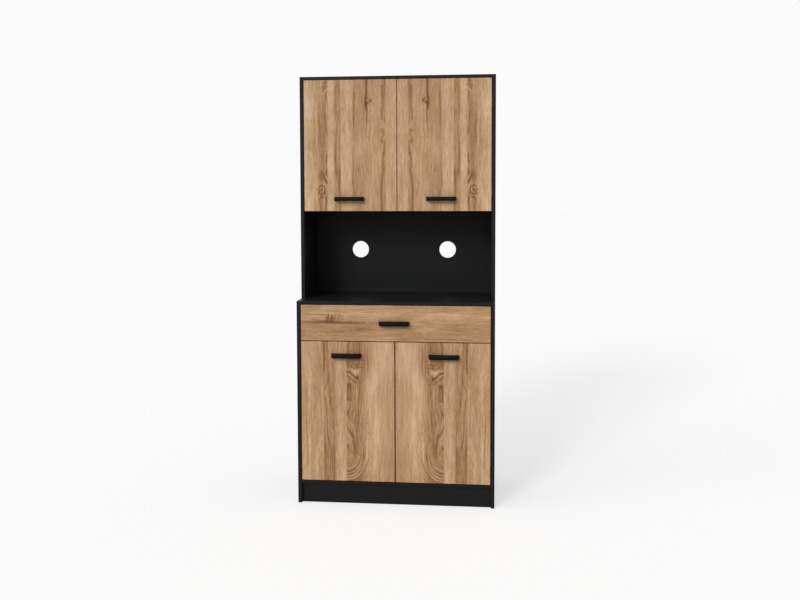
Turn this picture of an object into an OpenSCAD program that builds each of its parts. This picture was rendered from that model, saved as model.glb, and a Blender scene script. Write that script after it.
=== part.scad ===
// Tall kitchen cabinet: a base with a drawer and two doors, an open niche above the worktop,
// and a shallower hutch with two doors. All sizes are in millimetres.
// X runs to the right, Y to the back and Z up. The origin is on the floor, in the middle of the footprint.

/* [Cabinet] */
// Outer width of the cabinet
cabinet_w = 800; // [680:10:1000]
// Height from the floor to the top of the hutch
cabinet_h = 1740; // [1640:10:2100]
// Height from the floor to the worktop
base_h = 830; // [770:4:918]
// Depth of the base, from front edges to rear edges of its sides
base_d = 400; // [360:5:480]
// How far the hutch stands back from the front of the base
hutch_setback = 96; // [60:2:120]
// Clear height of the open niche above the worktop
niche_h = 364; // [300:2:420]

/* [Boards] */
// Thickness of the upright side boards
side_t = 15; // [15:1:19]
// Thickness of the horizontal boards and the plinth
board_t = 12; // [12:1:18]
// Radius on the front edges of the boards
edge_r = 1; // [0.4:0.1:2]
// Thickness of the back sheets
back_t = 3; // [2.5:0.5:4]
// Distance from the back sheets to the rear edges
back_inset = 16; // [14:1:22]
// Depth of the grooves that hold the back sheets
groove_d = 6; // [4:0.5:8]
// Height of the plinth, which is also where the bottom board lies
plinth_h = 82; // [60:1:110]
// How far the plinth stands back from the front
plinth_setback = 14; // [8:1:40]
// Gap at each end of a loose shelf
shelf_play = 1; // [0.5:0.5:2]
// How far a loose shelf stands back from the fronts
shelf_setback = 20; // [10:1:40]

/* [Niche] */
// Radius of the cable holes in the back of the niche
cable_hole_r = 36; // [20:1:45]
// Distance of each cable hole from the middle
cable_hole_x = 192; // [100:1:240]
// Height of the cable holes above the worktop
cable_hole_rise = 188; // [80:1:240]

/* [Fronts] */
// Thickness of the doors and the drawer front
front_t = 15; // [15:1:18]
// Gap round each front
front_gap = 2; // [1.5:0.5:3]
// Gap between the two doors of a pair
middle_gap = 3; // [2:0.5:5]
// Height of the drawer front
drawer_front_h = 146; // [140:2:180]
// Radius on the front edges of the fronts
front_r = 0.8; // [0.4:0.1:1.4]
// Space left behind the fronts for the bumpers
bumper_gap = 1; // [0.8:0.1:2]
// Radius of a bumper
bumper_r = 4; // [3:0.5:5]
// Distance of a bumper from the middle of the cabinet
bumper_x = 40; // [25:5:120]

/* [Handles] */
// Length of a handle where it meets the front
handle_len = 124; // [118:1:180]
// Length of a handle's front face
handle_face_len = 114; // [112:1:118]
// Height of a handle
handle_h = 17; // [15:0.5:24]
// How far a handle stands out
handle_out = 27; // [22:1:40]
// Wall of a handle
handle_wall = 3; // [2:0.5:4]
// Radius on the handle's long front edges
handle_edge_r = 2; // [1:0.5:3]
// Radius on the handle's upright front corners
handle_corner_r = 4; // [2:0.5:5]
// Distance between a handle's two screws
handle_pitch = 96; // [80:1:100]
// Height of an upper handle's middle above the lower end of its door
handle_rise = 50; // [30:1:120]
// Depth of a lower handle's middle below the upper end of its door
handle_drop = 57; // [30:1:120]
// Distance of the upper left handle's middle from its door's middle, outwards
upper_left_shift = 5; // [-30:1:30]
// Distance of the upper right handle's middle from its door's middle, outwards
upper_right_shift = -12; // [-30:1:30]
// Distance of the lower handles' middles from their doors' middles, outwards
lower_shift = 5; // [-30:1:30]
// Distance of the drawer handle's middle from the drawer's middle, to the right
drawer_shift = -3; // [-30:1:30]

/* [Hinges] */
// Distance from a door's end to the middle of its hinge
hinge_inset = 90; // [60:5:110]
// Radius of the cup
cup_r = 17.5; // [17.5:0.5:18]
// Depth of the cup in the door
cup_depth = 12; // [12:0.1:12.5]
// Door left between its edge and the cup
cup_tab = 3; // [3:0.5:4]
// Wall of the cup
cup_wall = 1.1; // [0.9:0.1:1.3]
// Thickness of the cup's flange on the door
flange_t = 0.8; // [0.6:0.1:1]
// Distance from the cup's middle to each cup screw, along the door
cup_screw_z = 24; // [23:0.5:30]
// Sheet thickness of the hinge arm
arm_t = 1.4; // [1:0.1:1.6]
// Length of the hinge arm behind the front plane
arm_end = 84; // [80:1:100]
// Radius of the hinge pins
hinge_pin_r = 1.5; // [1.2:0.1:1.6]

/* [Drawer] */
// Thickness of the drawer's sides and back
drawer_board_t = 12; // [10:1:15]
// Height of the drawer's sides
drawer_side_h = 100; // [70:5:110]
// Space between the drawer and the back sheet
drawer_rear_gap = 26; // [20:1:40]
// Thickness of the drawer's bottom
drawer_bottom_t = 3; // [2.5:0.5:5]
// Height of the drawer's bottom above the lower edges of its sides
drawer_bottom_rise = 10; // [8:1:20]
// Height of the drawer's sides above the lower edge of its front
drawer_side_rise = 22; // [19:1:30]
// Depth of the grooves that hold the drawer's bottom
drawer_groove_d = 5; // [3:0.5:6]
// Space between the cabinet runners and the back sheet
runner_rear_gap = 11; // [4:1:16]
// Space for a runner at each side of the drawer
runner_w = 12.5; // [12.5:0.1:13]
// Sheet thickness of the runners
runner_t = 1.2; // [1:0.1:1.4]
// Radius of the runner rollers
roller_r = 12; // [11:0.5:12]
// Width of the runner rollers
roller_w = 7; // [5:0.5:7]

/* [Fasteners] */
// Radius of the dowels
dowel_r = 3; // [2.5:0.5:4]
// Length of the dowels
dowel_len = 30; // [25:1:35]
// Radius of the cams
cam_r = 6; // [5.5:0.5:7.5]
// Distance from a board's end to its cams
cam_back = 24; // [20:1:34]
// Board left above a cam
cam_roof = 3.5; // [2.5:0.5:4]
// Distance from a board's front or rear edge to its cams
cam_inset = 50; // [40:1:70]
// Radius of the wood screws' shanks
screw_r = 1.7; // [1.5:0.1:2]
// Radius of the wood screws' heads
screw_head_r = 3.3; // [3:0.1:3.5]
// Radius of the shelf pins
shelf_pin_r = 2.5; // [2:0.5:3]
// Distance between neighbouring shelf pin holes
shelf_pin_pitch = 32; // [25:1:40]
// Holes in each row for the shelf pins
shelf_pin_holes = 5; // [3:2:7]

/* [Wall brackets] */
// Length of each leg of a wall bracket
bracket_leg = 30; // [24:1:40]
// Width of a wall bracket
bracket_w = 20; // [16:1:30]
// Sheet thickness of the brackets
bracket_t = 2; // [1.5:0.5:3]
// Radius of the wall hole in a bracket
wall_hole_r = 2.6; // [2:0.1:3.5]
// Distance of a wall bracket from the middle
bracket_x = 250; // [120:5:280]

/* [Hidden] */
$fn = 40;
fit = 0.05;
loose = 0.1;
clearance = 0.3;
groove_play = 0.5;
eps = 1;

// Planes of the cabinet
half_w = cabinet_w / 2;
inner = half_w - side_t;
front_y = (handle_out - base_d) / 2;
rear_y = front_y + base_d;
hutch_y = front_y + hutch_setback;
hutch_d = base_d - hutch_setback;
sheet_y0 = rear_y - back_inset - back_t;
sheet_y1 = rear_y - back_inset;
sheet_half_w = inner + groove_d - groove_play;

// Heights of the boards
bottom_z = plinth_h;
worktop_z = base_h - board_t;
drawer_top_z = worktop_z - front_gap;
drawer_low_z = drawer_top_z - drawer_front_h;
low_door_top_z = drawer_low_z - front_gap;
low_door_low_z = bottom_z + board_t + front_gap;
divider_z = drawer_low_z - front_gap / 2 - board_t;
hutch_floor_z = base_h + niche_h;
hutch_top_z = cabinet_h - board_t;
up_door_top_z = hutch_top_z - front_gap;
up_door_low_z = hutch_floor_z - front_gap;
base_shelf_z = (bottom_z + board_t + divider_z - board_t) / 2;
hutch_shelf_z = (hutch_floor_z + hutch_top_z) / 2;

// Boards behind the fronts start here
base_inner_y = front_y + front_t + bumper_gap;
hutch_inner_y = hutch_y + front_t + bumper_gap;

// Doors
door_w = inner - front_gap - middle_gap / 2;
door_x = inner - front_gap - door_w / 2;
up_hinges = [up_door_low_z + hinge_inset, up_door_top_z - hinge_inset];
low_hinges = [low_door_low_z + hinge_inset, low_door_top_z - hinge_inset];
up_handle_z = up_door_low_z + handle_rise;
low_handle_z = low_door_top_z - handle_drop;
drawer_handle_z = (drawer_low_z + drawer_top_z) / 2;

// Hinge, seen from above, measured from the side board's inner face and the plane of the fronts
cup_x = front_gap + cup_tab + cup_r;
cavity_r = cup_r - cup_wall;
cavity_half = 8.2;
cup_floor_y = front_t - cup_depth + cup_wall;
arm_pin = [cup_x + 11.7, front_t - 4.6];
cup_pin = [front_gap + cup_tab + 4.9, front_t - 5.4];
link_half = 4.5;
link_bar = 1;
link_eye = 2.4;
link_low = cup_floor_y + 1.4;
link_dip_a = 3.5;
link_dip_b = 5;
cup_pin_grip = 1.4;
arm_half = 6.8;
arm_eye = 2.9;
arm_step_y = front_t + 2.2;
arm_bend_y = arm_step_y + 5.3;
arm_low = 4;
arm_high = 13;
arm_front_y = 38;
arm_elbow_x = 12;
arm_elbow_y = 26;
cup_screw_x = cup_x + 9.5;
cup_screw_len = 10;
flange_rim = 1.5;
pin_hole = cavity_half + cup_pin_grip + loose;
plate_t = 3;
plate_front_y = 42;
plate_screw_y = 52;
plate_screw_z = 16;
plate_wing = 8;
arm_gap = 0.25;
rail_half = arm_half - arm_t - arm_gap;
arm_screw_y = 68;
pin_head_r = 2.3;
pin_head_t = 0.8;

// Handle screws
handle_screw_r = 2;
handle_boss_r = 4.5;
handle_rib = 3;
handle_end = 1;
corner_steps = 8;
handle_grip = 15;
handle_head_r = 4;
handle_head_t = 2.2;

// Drawer box and its runners
box_half = inner - runner_w;
box_inner = box_half - drawer_board_t;
box_low_z = drawer_low_z + drawer_side_rise;
box_front_y = front_y + front_t;
box_rear_y = sheet_y0 - drawer_rear_gap;
box_floor_z = box_low_z + drawer_bottom_rise;
flange_gap = 0.3;
runner_front_gap = 5;
channel_half = roller_r + flange_gap;
runner_z = box_low_z + channel_half - runner_t;
runner_y0 = box_front_y + runner_front_gap;
runner_y1 = sheet_y0 - runner_rear_gap;
channel_w = runner_w - runner_t - flange_gap;
rail_top = roller_r - 4;
front_roller_y = runner_y0 + roller_r + 3;
rear_roller_y = box_rear_y - roller_r - 8;
front_roller_z = runner_z + rail_top - roller_r - fit;
rear_roller_z = runner_z - channel_half + roller_r + fit;
roller_x = 3.2;
axle_r = 2.5;
axle_head_r = 4;
axle_head_t = 1;
weld = 0.2;
rail_setback = 1;
roller_clear = roller_r + 2;

// Fasteners
screw_len = 13;
screw_head_t = 1.6;
short_screw = 9;
cross_w = 0.9;
cross_rim = 1.2;
cam_bolt_r = 2;
cam_thread_r = 2.45;
cam_thread_len = 10;
cam_head_r = 2.8;
cam_head_len = 3;
cam_head_end = cam_back + cam_head_len / 2;
dowel_grip = 10;
dowel_skin = 3;
shelf_pin_in = 8;
shelf_pin_out = 8;
shelf_pin_collar = shelf_play - 0.2;
shelf_pin_edge = 35;
shelf_pin_rim = 1.5;
runner_screw_front = 60;
runner_screw_rear = 40;
runner_screws = [runner_y0 + runner_screw_front, (runner_y0 + runner_y1) / 2, runner_y1 - runner_screw_rear];
rail_screws = [box_front_y + runner_screw_rear, box_rear_y - runner_screw_front];
drawer_screw_len = drawer_bottom_rise - 1.5;
dowel_spread = 20;
drawer_dowel_zs = [box_floor_z + drawer_bottom_t + dowel_spread, box_low_z + drawer_side_h - dowel_spread];
front_dowel_y = box_front_y - dowel_grip;
back_dowel_x = -box_half + dowel_skin;
side_mid_x = box_half - drawer_board_t / 2;
back_mid_y = box_rear_y - drawer_board_t / 2;
hutch_dowels = [hutch_y + hutch_d * 0.15, rear_y - hutch_d * 0.35];
bracket_screw = bracket_leg * 0.6;
bracket_hole = bracket_leg * 0.6;
join_leg = 40;
join_w = back_inset - 2;
join_screw = 26;
plinth_mid_y = front_y + plinth_setback + board_t / 2;
plinth_dowels = [plinth_h / 2 - dowel_spread, plinth_h / 2 + dowel_spread];
black = [0.13, 0.13, 0.14];
oak = [0.71, 0.56, 0.42];
sheet_black = [0.09, 0.1, 0.1];
zinc = [0.72, 0.73, 0.75];

// Basic shapes
module box(low, high) { translate(low) cube(high - low); }

module rod_x(x0, x1, y, z, r) { translate([x0, y, z]) rotate([0, 90, 0]) cylinder(r = r, h = x1 - x0); }

module rod_y(x, y0, y1, z, r) { translate([x, y0, z]) rotate([-90, 0, 0]) cylinder(r = r, h = y1 - y0); }

module rod_z(x, y, z0, z1, r) { translate([x, y, z0]) cylinder(r = r, h = z1 - z0); }

// Both sides of the cabinet: the shape is drawn for the left side and mirrored
module both_sides() {
    children();
    mirror([1, 0, 0]) children();
}

module side(right) { mirror([right ? 1 : 0, 0, 0]) children(); }

// Extrudes an outline of depth and height along X
module along_x(x0, x1) { translate([x0, 0, 0]) rotate([90, 0, 90]) linear_extrude(x1 - x0) children(); }

// Rectangle with two rounded corners at y = 0, seen from above
module eased_plan(w, d, r) {
    translate([r, 0]) square([w - 2 * r, d]);
    translate([0, r]) square([w, d - r]);
    for (x = [r, w - r])
        translate([x, r]) circle(r);
}

// Rectangle with two rounded corners at depth 0, seen from the side
module eased_section(d, h, r) {
    translate([r, 0]) square([d - r, h]);
    translate([0, r]) square([d, h - 2 * r]);
    for (z = [r, h - r])
        translate([r, z]) circle(r);
}

// Upright board with eased front edges
module upright(x, y, z0, z1, d) {
    translate([x, y, z0]) linear_extrude(z1 - z0) eased_plan(side_t, d, edge_r);
}

// Horizontal board between the sides, with eased front edges
module shelf_board(half, y0, y1, z) {
    translate([0, y0, z]) along_x(-half, half) eased_section(y1 - y0, board_t, edge_r);
}

// Front with all its outer edges eased
module front_board(x0, x1, y, z0, z1) {
    intersection() {
        translate([x0, y, z0]) linear_extrude(z1 - z0) eased_plan(x1 - x0, front_t, front_r);
        translate([0, y, z0]) along_x(x0, x1) eased_section(front_t, z1 - z0, front_r);
    }
}

// Fasteners
// Each horizontal board that is held by cams: its height, front and rear
cam_boards = [
    [bottom_z, front_y, sheet_y0],
    [divider_z, base_inner_y, sheet_y0],
    [worktop_z, front_y, rear_y],
    [hutch_floor_z, hutch_inner_y, sheet_y0],
    [hutch_top_z, hutch_y, rear_y]
];

function cam_ys(b) = [b[1] + cam_inset, b[2] - cam_inset];
function dowel_y(b) = (b[1] + b[2]) / 2;
function middle_z(b) = b[0] + board_t / 2;

// Cuts in the left half of a horizontal board for its cams, bolts and dowel
module cam_board_cuts(b) {
    both_sides() {
        for (y = cam_ys(b)) {
            rod_z(cam_back - inner, y, b[0] - eps, b[0] + board_t - cam_roof, cam_r);
            rod_x(-inner - eps, cam_head_end - inner + loose, y, middle_z(b), cam_head_r + loose);
        }
        rod_x(-inner - eps, dowel_len - dowel_grip - inner + loose, dowel_y(b), middle_z(b), dowel_r);
    }
}

// Cuts in the left side board for the bolts and dowel of a horizontal board
module cam_side_cuts(b) {
    for (y = cam_ys(b))
        rod_x(-inner - cam_thread_len - loose, -inner + eps, y, middle_z(b), cam_thread_r + fit);
    rod_x(-inner - dowel_grip - loose, -inner + eps, dowel_y(b), middle_z(b), dowel_r);
}

module cam_lock(b, y) {
    x = cam_back - inner;
    difference() {
        rod_z(x, y, b[0], b[0] + board_t - cam_roof - loose, cam_r - fit);
        rod_x(x - cam_r - eps, x + cam_head_len + loose, y, middle_z(b), cam_head_r + loose);
        translate([x, y, b[0]]) rotate([0, -90, 0]) cross_recess(cam_r - 2 * cross_rim, cross_w);
    }
}

module cam_bolt(b, y) {
    z = middle_z(b);
    x = cam_back - inner;
    rod_x(-inner - cam_thread_len, -inner, y, z, cam_thread_r);
    rod_x(-inner - eps, x, y, z, cam_bolt_r);
    rod_x(cam_head_end - inner - cam_head_len, cam_head_end - inner, y, z, cam_head_r);
}

module dowel_x(y, z) { rod_x(-inner - dowel_grip, -inner - dowel_grip + dowel_len, y, z, dowel_r - fit); }

// Cross recess of a screw or cam, cut from its face at the origin along +X
module cross_recess(half, depth) {
    for (a = [0, 90])
        rotate([a, 0, 0]) box([-eps, -half, -cross_w / 2], [depth, half, cross_w / 2]);
}

// Screw with its head's underside at the origin, pointing along +X
module screw(r, length, head_r, head_t) {
    difference() {
        union() {
            rod_x(-head_t, 0, 0, 0, head_r);
            rod_x(-head_t / 2, length, 0, 0, r);
        }
        translate([-head_t, 0, 0]) cross_recess(head_r - cross_rim, head_t / 2);
    }
}

module wood_screw(length) { screw(screw_r, length, screw_head_r, screw_head_t); }

module machine_screw(length) { screw(handle_screw_r, length, handle_head_r, handle_head_t); }

module screw_hole(length) { rod_x(-eps, length + loose, 0, 0, screw_r + fit); }

// Heights and depths of the pin holes round a loose shelf
function pin_row(i) = (i - (shelf_pin_holes - 1) / 2) * shelf_pin_pitch;
function shelf_rows(z) = [for (i = [0 : shelf_pin_holes - 1]) z - shelf_pin_r + pin_row(i)];
function shelf_pin_ys(y0) = [y0 + shelf_setback + shelf_pin_edge, sheet_y0 - shelf_pin_edge];

module shelf_pin_cuts(y0, z) {
    for (y = shelf_pin_ys(y0), h = shelf_rows(z))
        rod_x(-inner - shelf_pin_in - loose, -inner + eps, y, h, shelf_pin_r);
}

module shelf_pin(y, z) {
    h = z - shelf_pin_r;
    rod_x(-inner - shelf_pin_in, -inner + shelf_pin_out, y, h, shelf_pin_r - fit);
    rod_x(-inner, -inner + shelf_pin_collar, y, h, shelf_pin_r + shelf_pin_rim);
}

// Hinge parts are drawn from the left side board's inner face, the plane of the fronts and the hinge's height
module at_hinge(y, z) { translate([-inner, y, z]) children(); }

// The two screws of a hinge plate start at the side board's inner face and point into it
module plate_screw_places() {
    for (s = [-1, 1])
        translate([0, plate_screw_y, s * plate_screw_z]) rotate([0, 0, 180]) children();
}

module hinge_plate() {
    difference() {
        union() {
            box([0, plate_screw_y - plate_wing, -plate_screw_z - plate_wing],
                [plate_t, plate_screw_y + plate_wing, plate_screw_z + plate_wing]);
            box([0, plate_front_y, -rail_half], [arm_high - arm_t - arm_gap, arm_end - arm_gap, rail_half]);
        }
        plate_screw_places() rod_x(-plate_t - eps, eps, 0, 0, screw_r + fit);
        rod_x(arm_low, arm_high, arm_screw_y, 0, handle_screw_r + fit);
    }
}

module arm_outline() {
    translate(arm_pin) circle(arm_eye);
    polygon([
        [arm_pin[0] - arm_eye, arm_pin[1]], [arm_pin[0] + arm_eye, arm_pin[1]],
        [arm_pin[0] + arm_eye, arm_bend_y], [arm_high, arm_front_y], [arm_high, arm_end],
        [arm_low, arm_end], [arm_low, arm_front_y - arm_t], [arm_elbow_x, arm_elbow_y],
        [arm_pin[0] - arm_eye, arm_step_y]
    ]);
}

module hinge_arm() {
    difference() {
        translate([0, 0, -arm_half]) linear_extrude(2 * arm_half) arm_outline();
        translate([0, 0, -arm_half + arm_t]) linear_extrude(2 * (arm_half - arm_t)) {
            polygon([
                [arm_pin[0] + arm_eye - arm_t, -eps], [arm_pin[0] + arm_eye - arm_t, arm_bend_y - arm_t / 2],
                [arm_high - arm_t, arm_front_y - arm_t / 2], [arm_high - arm_t, arm_end + eps],
                [-eps, arm_end + eps], [-eps, -eps]
            ]);
            square([arm_pin[0] + 2 * arm_eye, arm_pin[1] + link_eye + clearance]);
        }
        rod_z(arm_pin[0], arm_pin[1], -arm_half - eps, arm_half + eps, hinge_pin_r + fit);
        rod_x(arm_high - arm_t - eps, arm_high + eps, arm_screw_y, 0, handle_screw_r + fit);
    }
}

module hinge_pin(p, half) {
    rod_z(p[0], p[1], -half - pin_head_t, half + pin_head_t, hinge_pin_r);
    for (z = [-half - fit - pin_head_t, half + fit])
        rod_z(p[0], p[1], z, z + pin_head_t, pin_head_r);
}

module link_bar_2d(a, b) {
    d = b - a;
    n = [-d[1], d[0]] * link_bar / norm(d);
    polygon([a + n, b + n, b - n, a - n]);
    translate(b) circle(link_bar);
}

module hinge_link() {
    dip_a = [cup_pin[0] + link_dip_a, link_low];
    dip_b = [arm_pin[0] - link_dip_b, link_low];
    difference() {
        translate([0, 0, -link_half]) linear_extrude(2 * link_half) {
            link_bar_2d(cup_pin, dip_a);
            link_bar_2d(dip_a, dip_b);
            link_bar_2d(dip_b, arm_pin);
            translate(cup_pin) circle(link_eye);
            translate(arm_pin) circle(link_eye);
        }
        for (p = [cup_pin, arm_pin])
            rod_z(p[0], p[1], -link_half - eps, link_half + eps, hinge_pin_r + fit);
    }
    rod_z(cup_pin[0], cup_pin[1], -cavity_half - cup_pin_grip, cavity_half + cup_pin_grip, hinge_pin_r);
}

module hinge_cup() {
    flange_x1 = cup_screw_x + screw_head_r + flange_rim;
    flange_z = cup_screw_z + screw_head_r + flange_rim;
    difference() {
        union() {
            rod_y(cup_x, front_t - cup_depth, front_t + flange_t, 0, cup_r - loose);
            box([cup_x, front_t, -flange_z], [flange_x1, front_t + flange_t, flange_z]);
        }
        intersection() {
            rod_y(cup_x, cup_floor_y, front_t + flange_t + eps, 0, cavity_r);
            box([0, 0, -cavity_half], [2 * cup_x, front_t + flange_t + eps, cavity_half]);
        }
        rod_z(cup_pin[0], cup_pin[1], -pin_hole, pin_hole, hinge_pin_r + fit);
        for (s = [-1, 1])
            rod_y(cup_screw_x, front_t - eps, front_t + flange_t + eps, s * cup_screw_z, screw_r + fit);
    }
}

module cup_cuts() {
    rod_y(cup_x, front_t - cup_depth - loose, front_t + eps, 0, cup_r);
    for (s = [-1, 1])
        rod_y(cup_screw_x, front_t - cup_screw_len - loose, front_t + eps, s * cup_screw_z, screw_r + fit);
}

// Handles are drawn round the middle of the front that carries them
// Outward direction of a handle's right end, and the middle of its rounded corner
function end_normal() = let (d = [handle_out, -(handle_len - handle_face_len) / 2]) d / norm(d);
function end_corner() = let (n = end_normal(), y = handle_corner_r - handle_out)
    [handle_len / 2 + (-handle_corner_r - n[1] * y) / n[0], y];

// Points of the rounded corner at one end of a handle, from its side to its face
function corner_points(side) = let (c = end_corner(), n = end_normal(), start = atan2(n[1], n[0]))
    [for (i = [0 : corner_steps]) let (a = start - (90 + start) * i / corner_steps)
        [side * (c[0] + handle_corner_r * cos(a)), c[1] + handle_corner_r * sin(a)]];

module handle_outline() {
    left = corner_points(-1);
    back = [[-handle_len / 2, 0], [handle_len / 2, 0]];
    polygon(concat(back, corner_points(1), [for (i = [corner_steps : -1 : 0]) left[i]]));
}

module handle() {
    inner_len = handle_len / 2 - handle_wall - handle_end;
    inner_face = handle_face_len / 2 - handle_wall - 2 * handle_end;
    half = handle_h / 2;
    difference() {
        intersection() {
            translate([0, 0, -half]) linear_extrude(handle_h) handle_outline();
            translate([0, -handle_out, -half]) along_x(-handle_len, handle_len)
                eased_section(handle_out + eps, handle_h, handle_edge_r);
        }
        difference() {
            translate([0, 0, -half - eps]) linear_extrude(handle_h - handle_wall + eps) polygon([
                [-inner_len, eps], [inner_len, eps], [inner_face, handle_wall - handle_out],
                [-inner_face, handle_wall - handle_out]
            ]);
            for (x = [-handle_pitch / 2, handle_pitch / 2]) {
                rod_y(x, -handle_out, eps, 0, handle_boss_r);
                box([x - handle_rib, -handle_out, 0], [x + handle_rib, eps, handle_h]);
            }
        }
        for (s = [-1, 1])
            rod_y(s * handle_pitch / 2, -handle_grip - loose, eps, 0, handle_screw_r + fit);
    }
}

module handle_screws() {
    for (s = [-1, 1])
        translate([s * handle_pitch / 2, front_t, 0])
            rotate([0, 0, -90]) machine_screw(front_t + handle_grip);
}

module handle_cuts() {
    for (s = [-1, 1])
        rod_y(s * handle_pitch / 2, -eps, front_t + eps, 0, handle_screw_r + clearance);
}

// Base boards
module base_side() {
    difference() {
        upright(-half_w, front_y, 0, base_h, base_d);
        box([-inner - groove_d, sheet_y0 - loose, bottom_z], [-inner + eps, sheet_y1 + loose, worktop_z]);
        for (b = [cam_boards[0], cam_boards[1], cam_boards[2]])
            cam_side_cuts(b);
        shelf_pin_cuts(base_inner_y, base_shelf_z);
        for (z = low_hinges)
            at_hinge(front_y, z) plate_screw_places() screw_hole(screw_len - plate_t);
        for (y = runner_screws)
            rod_x(-inner - screw_len + runner_t - loose, -inner + eps, y, runner_z, screw_r + fit);
        for (y = hutch_dowels)
            rod_z(-inner - side_t / 2, y, base_h - dowel_len / 2 - loose, base_h + eps, dowel_r);
        for (z = plinth_dowels)
            rod_x(-inner - dowel_grip - loose, -inner + eps, plinth_mid_y, z, dowel_r);
    }
}

module base_side_left() { color(black) base_side(); }

module base_side_right() { color(black) side(true) base_side(); }

module base_bottom() {
    color(black) difference() {
        shelf_board(inner, front_y, sheet_y0, bottom_z);
        cam_board_cuts(cam_boards[0]);
    }
}

module worktop() {
    color(black) difference() {
        shelf_board(inner, front_y, rear_y, worktop_z);
        cam_board_cuts(cam_boards[2]);
        both_sides() join_screw_z() screw_hole(short_screw);
    }
}

module plinth() {
    color(black) difference() {
        box([-inner, plinth_mid_y - board_t / 2, 0], [inner, plinth_mid_y + board_t / 2, plinth_h]);
        both_sides() for (z = plinth_dowels)
            rod_x(-inner - eps, dowel_len - dowel_grip - inner + loose, plinth_mid_y, z, dowel_r);
    }
}

module drawer_divider() {
    color(black) difference() {
        shelf_board(inner, base_inner_y, sheet_y0, divider_z);
        cam_board_cuts(cam_boards[1]);
    }
}

module loose_shelf(y, z) {
    shelf_board(inner - shelf_play, y + shelf_setback, sheet_y0 - shelf_play, z);
}

module base_shelf() { color(black) loose_shelf(base_inner_y, base_shelf_z); }

module hutch_shelf() { color(black) loose_shelf(hutch_inner_y, hutch_shelf_z); }

module base_back() {
    color(sheet_black) box([-sheet_half_w, sheet_y0, bottom_z], [sheet_half_w, sheet_y1, worktop_z]);
}

// Hutch boards
module hutch_side() {
    difference() {
        upright(-half_w, hutch_y, base_h, cabinet_h, hutch_d);
        box([-inner - groove_d, sheet_y0 - loose, base_h - eps],
            [-inner + eps, sheet_y1 + loose, hutch_top_z]);
        for (b = [cam_boards[3], cam_boards[4]])
            cam_side_cuts(b);
        shelf_pin_cuts(hutch_inner_y, hutch_shelf_z);
        for (z = up_hinges)
            at_hinge(hutch_y, z) plate_screw_places() screw_hole(screw_len - plate_t);
        for (y = hutch_dowels)
            rod_z(-inner - side_t / 2, y, base_h - eps, base_h + dowel_len / 2 + loose, dowel_r);
        join_screw_x() screw_hole(screw_len - bracket_t);
    }
}

module hutch_side_left() { color(black) hutch_side(); }

module hutch_side_right() { color(black) side(true) hutch_side(); }

module hutch_floor() {
    color(black) difference() {
        shelf_board(inner, hutch_inner_y, sheet_y0, hutch_floor_z);
        cam_board_cuts(cam_boards[3]);
    }
}

module hutch_top() {
    color(black) difference() {
        shelf_board(inner, hutch_y, rear_y, hutch_top_z);
        cam_board_cuts(cam_boards[4]);
        both_sides() wall_bracket_screw() screw_hole(short_screw);
    }
}

module hutch_back() {
    color(sheet_black) difference() {
        box([-sheet_half_w, sheet_y0, base_h], [sheet_half_w, sheet_y1, hutch_top_z]);
        for (s = [-1, 1]) {
            rod_y(s * cable_hole_x, sheet_y0 - eps, sheet_y1 + eps, base_h + cable_hole_rise, cable_hole_r);
            wall_hole(s * bracket_x);
        }
    }
}

// Brackets behind the niche that hold the hutch on the base
module join_screw_x() {
    translate([-inner, sheet_y1 + back_inset / 2, base_h + join_screw]) rotate([0, 0, 180]) children();
}

module join_screw_z() {
    translate([-inner + join_screw, sheet_y1 + back_inset / 2, base_h]) rotate([0, 90, 0]) children();
}

module joining_bracket() {
    y0 = sheet_y1 + (back_inset - join_w) / 2;
    difference() {
        union() {
            box([-inner, y0, base_h], [-inner + bracket_t, y0 + join_w, base_h + join_leg]);
            box([-inner, y0, base_h], [-inner + join_leg, y0 + join_w, base_h + bracket_t]);
        }
        join_screw_x() rod_x(-bracket_t - eps, eps, 0, 0, screw_r + fit);
        join_screw_z() rod_x(-bracket_t - eps, eps, 0, 0, screw_r + fit);
    }
}

module joining_brackets() { color(zinc) both_sides() joining_bracket(); }

// Brackets under the hutch top that hold the cabinet to a wall
module wall_bracket_screw() {
    translate([-bracket_x, sheet_y0 - bracket_screw, hutch_top_z]) rotate([0, -90, 0]) children();
}

module wall_hole(x) {
    rod_y(x, sheet_y0 - bracket_t - eps, sheet_y1 + eps, hutch_top_z - bracket_hole, wall_hole_r);
}

module wall_bracket() {
    x0 = -bracket_x - bracket_w / 2;
    corner = [x0 + bracket_w, sheet_y0, hutch_top_z];
    difference() {
        union() {
            box([x0, sheet_y0 - bracket_t, hutch_top_z - bracket_leg], corner);
            box([x0, sheet_y0 - bracket_leg, hutch_top_z - bracket_t], corner);
        }
        wall_hole(-bracket_x);
        wall_bracket_screw() rod_x(-bracket_t - eps, eps, 0, 0, screw_r + fit);
    }
}

module wall_brackets() { color(zinc) both_sides() wall_bracket(); }

// Groups of like fasteners
module cam_locks() {
    color(zinc) both_sides() for (b = cam_boards, y = cam_ys(b))
        cam_lock(b, y);
}

module cam_bolts() {
    color(zinc) both_sides() for (b = cam_boards, y = cam_ys(b))
        cam_bolt(b, y);
}

module dowels() {
    color([0.8, 0.68, 0.5]) both_sides() {
        for (b = cam_boards)
            dowel_x(dowel_y(b), middle_z(b));
        for (z = plinth_dowels)
            dowel_x(plinth_mid_y, z);
        for (y = hutch_dowels)
            rod_z(-inner - side_t / 2, y, base_h - dowel_len / 2, base_h + dowel_len / 2, dowel_r - fit);
    }
}

module shelf_pins() {
    color(zinc) both_sides() {
        for (y = shelf_pin_ys(base_inner_y))
            shelf_pin(y, base_shelf_z);
        for (y = shelf_pin_ys(hutch_inner_y))
            shelf_pin(y, hutch_shelf_z);
    }
}

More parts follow.
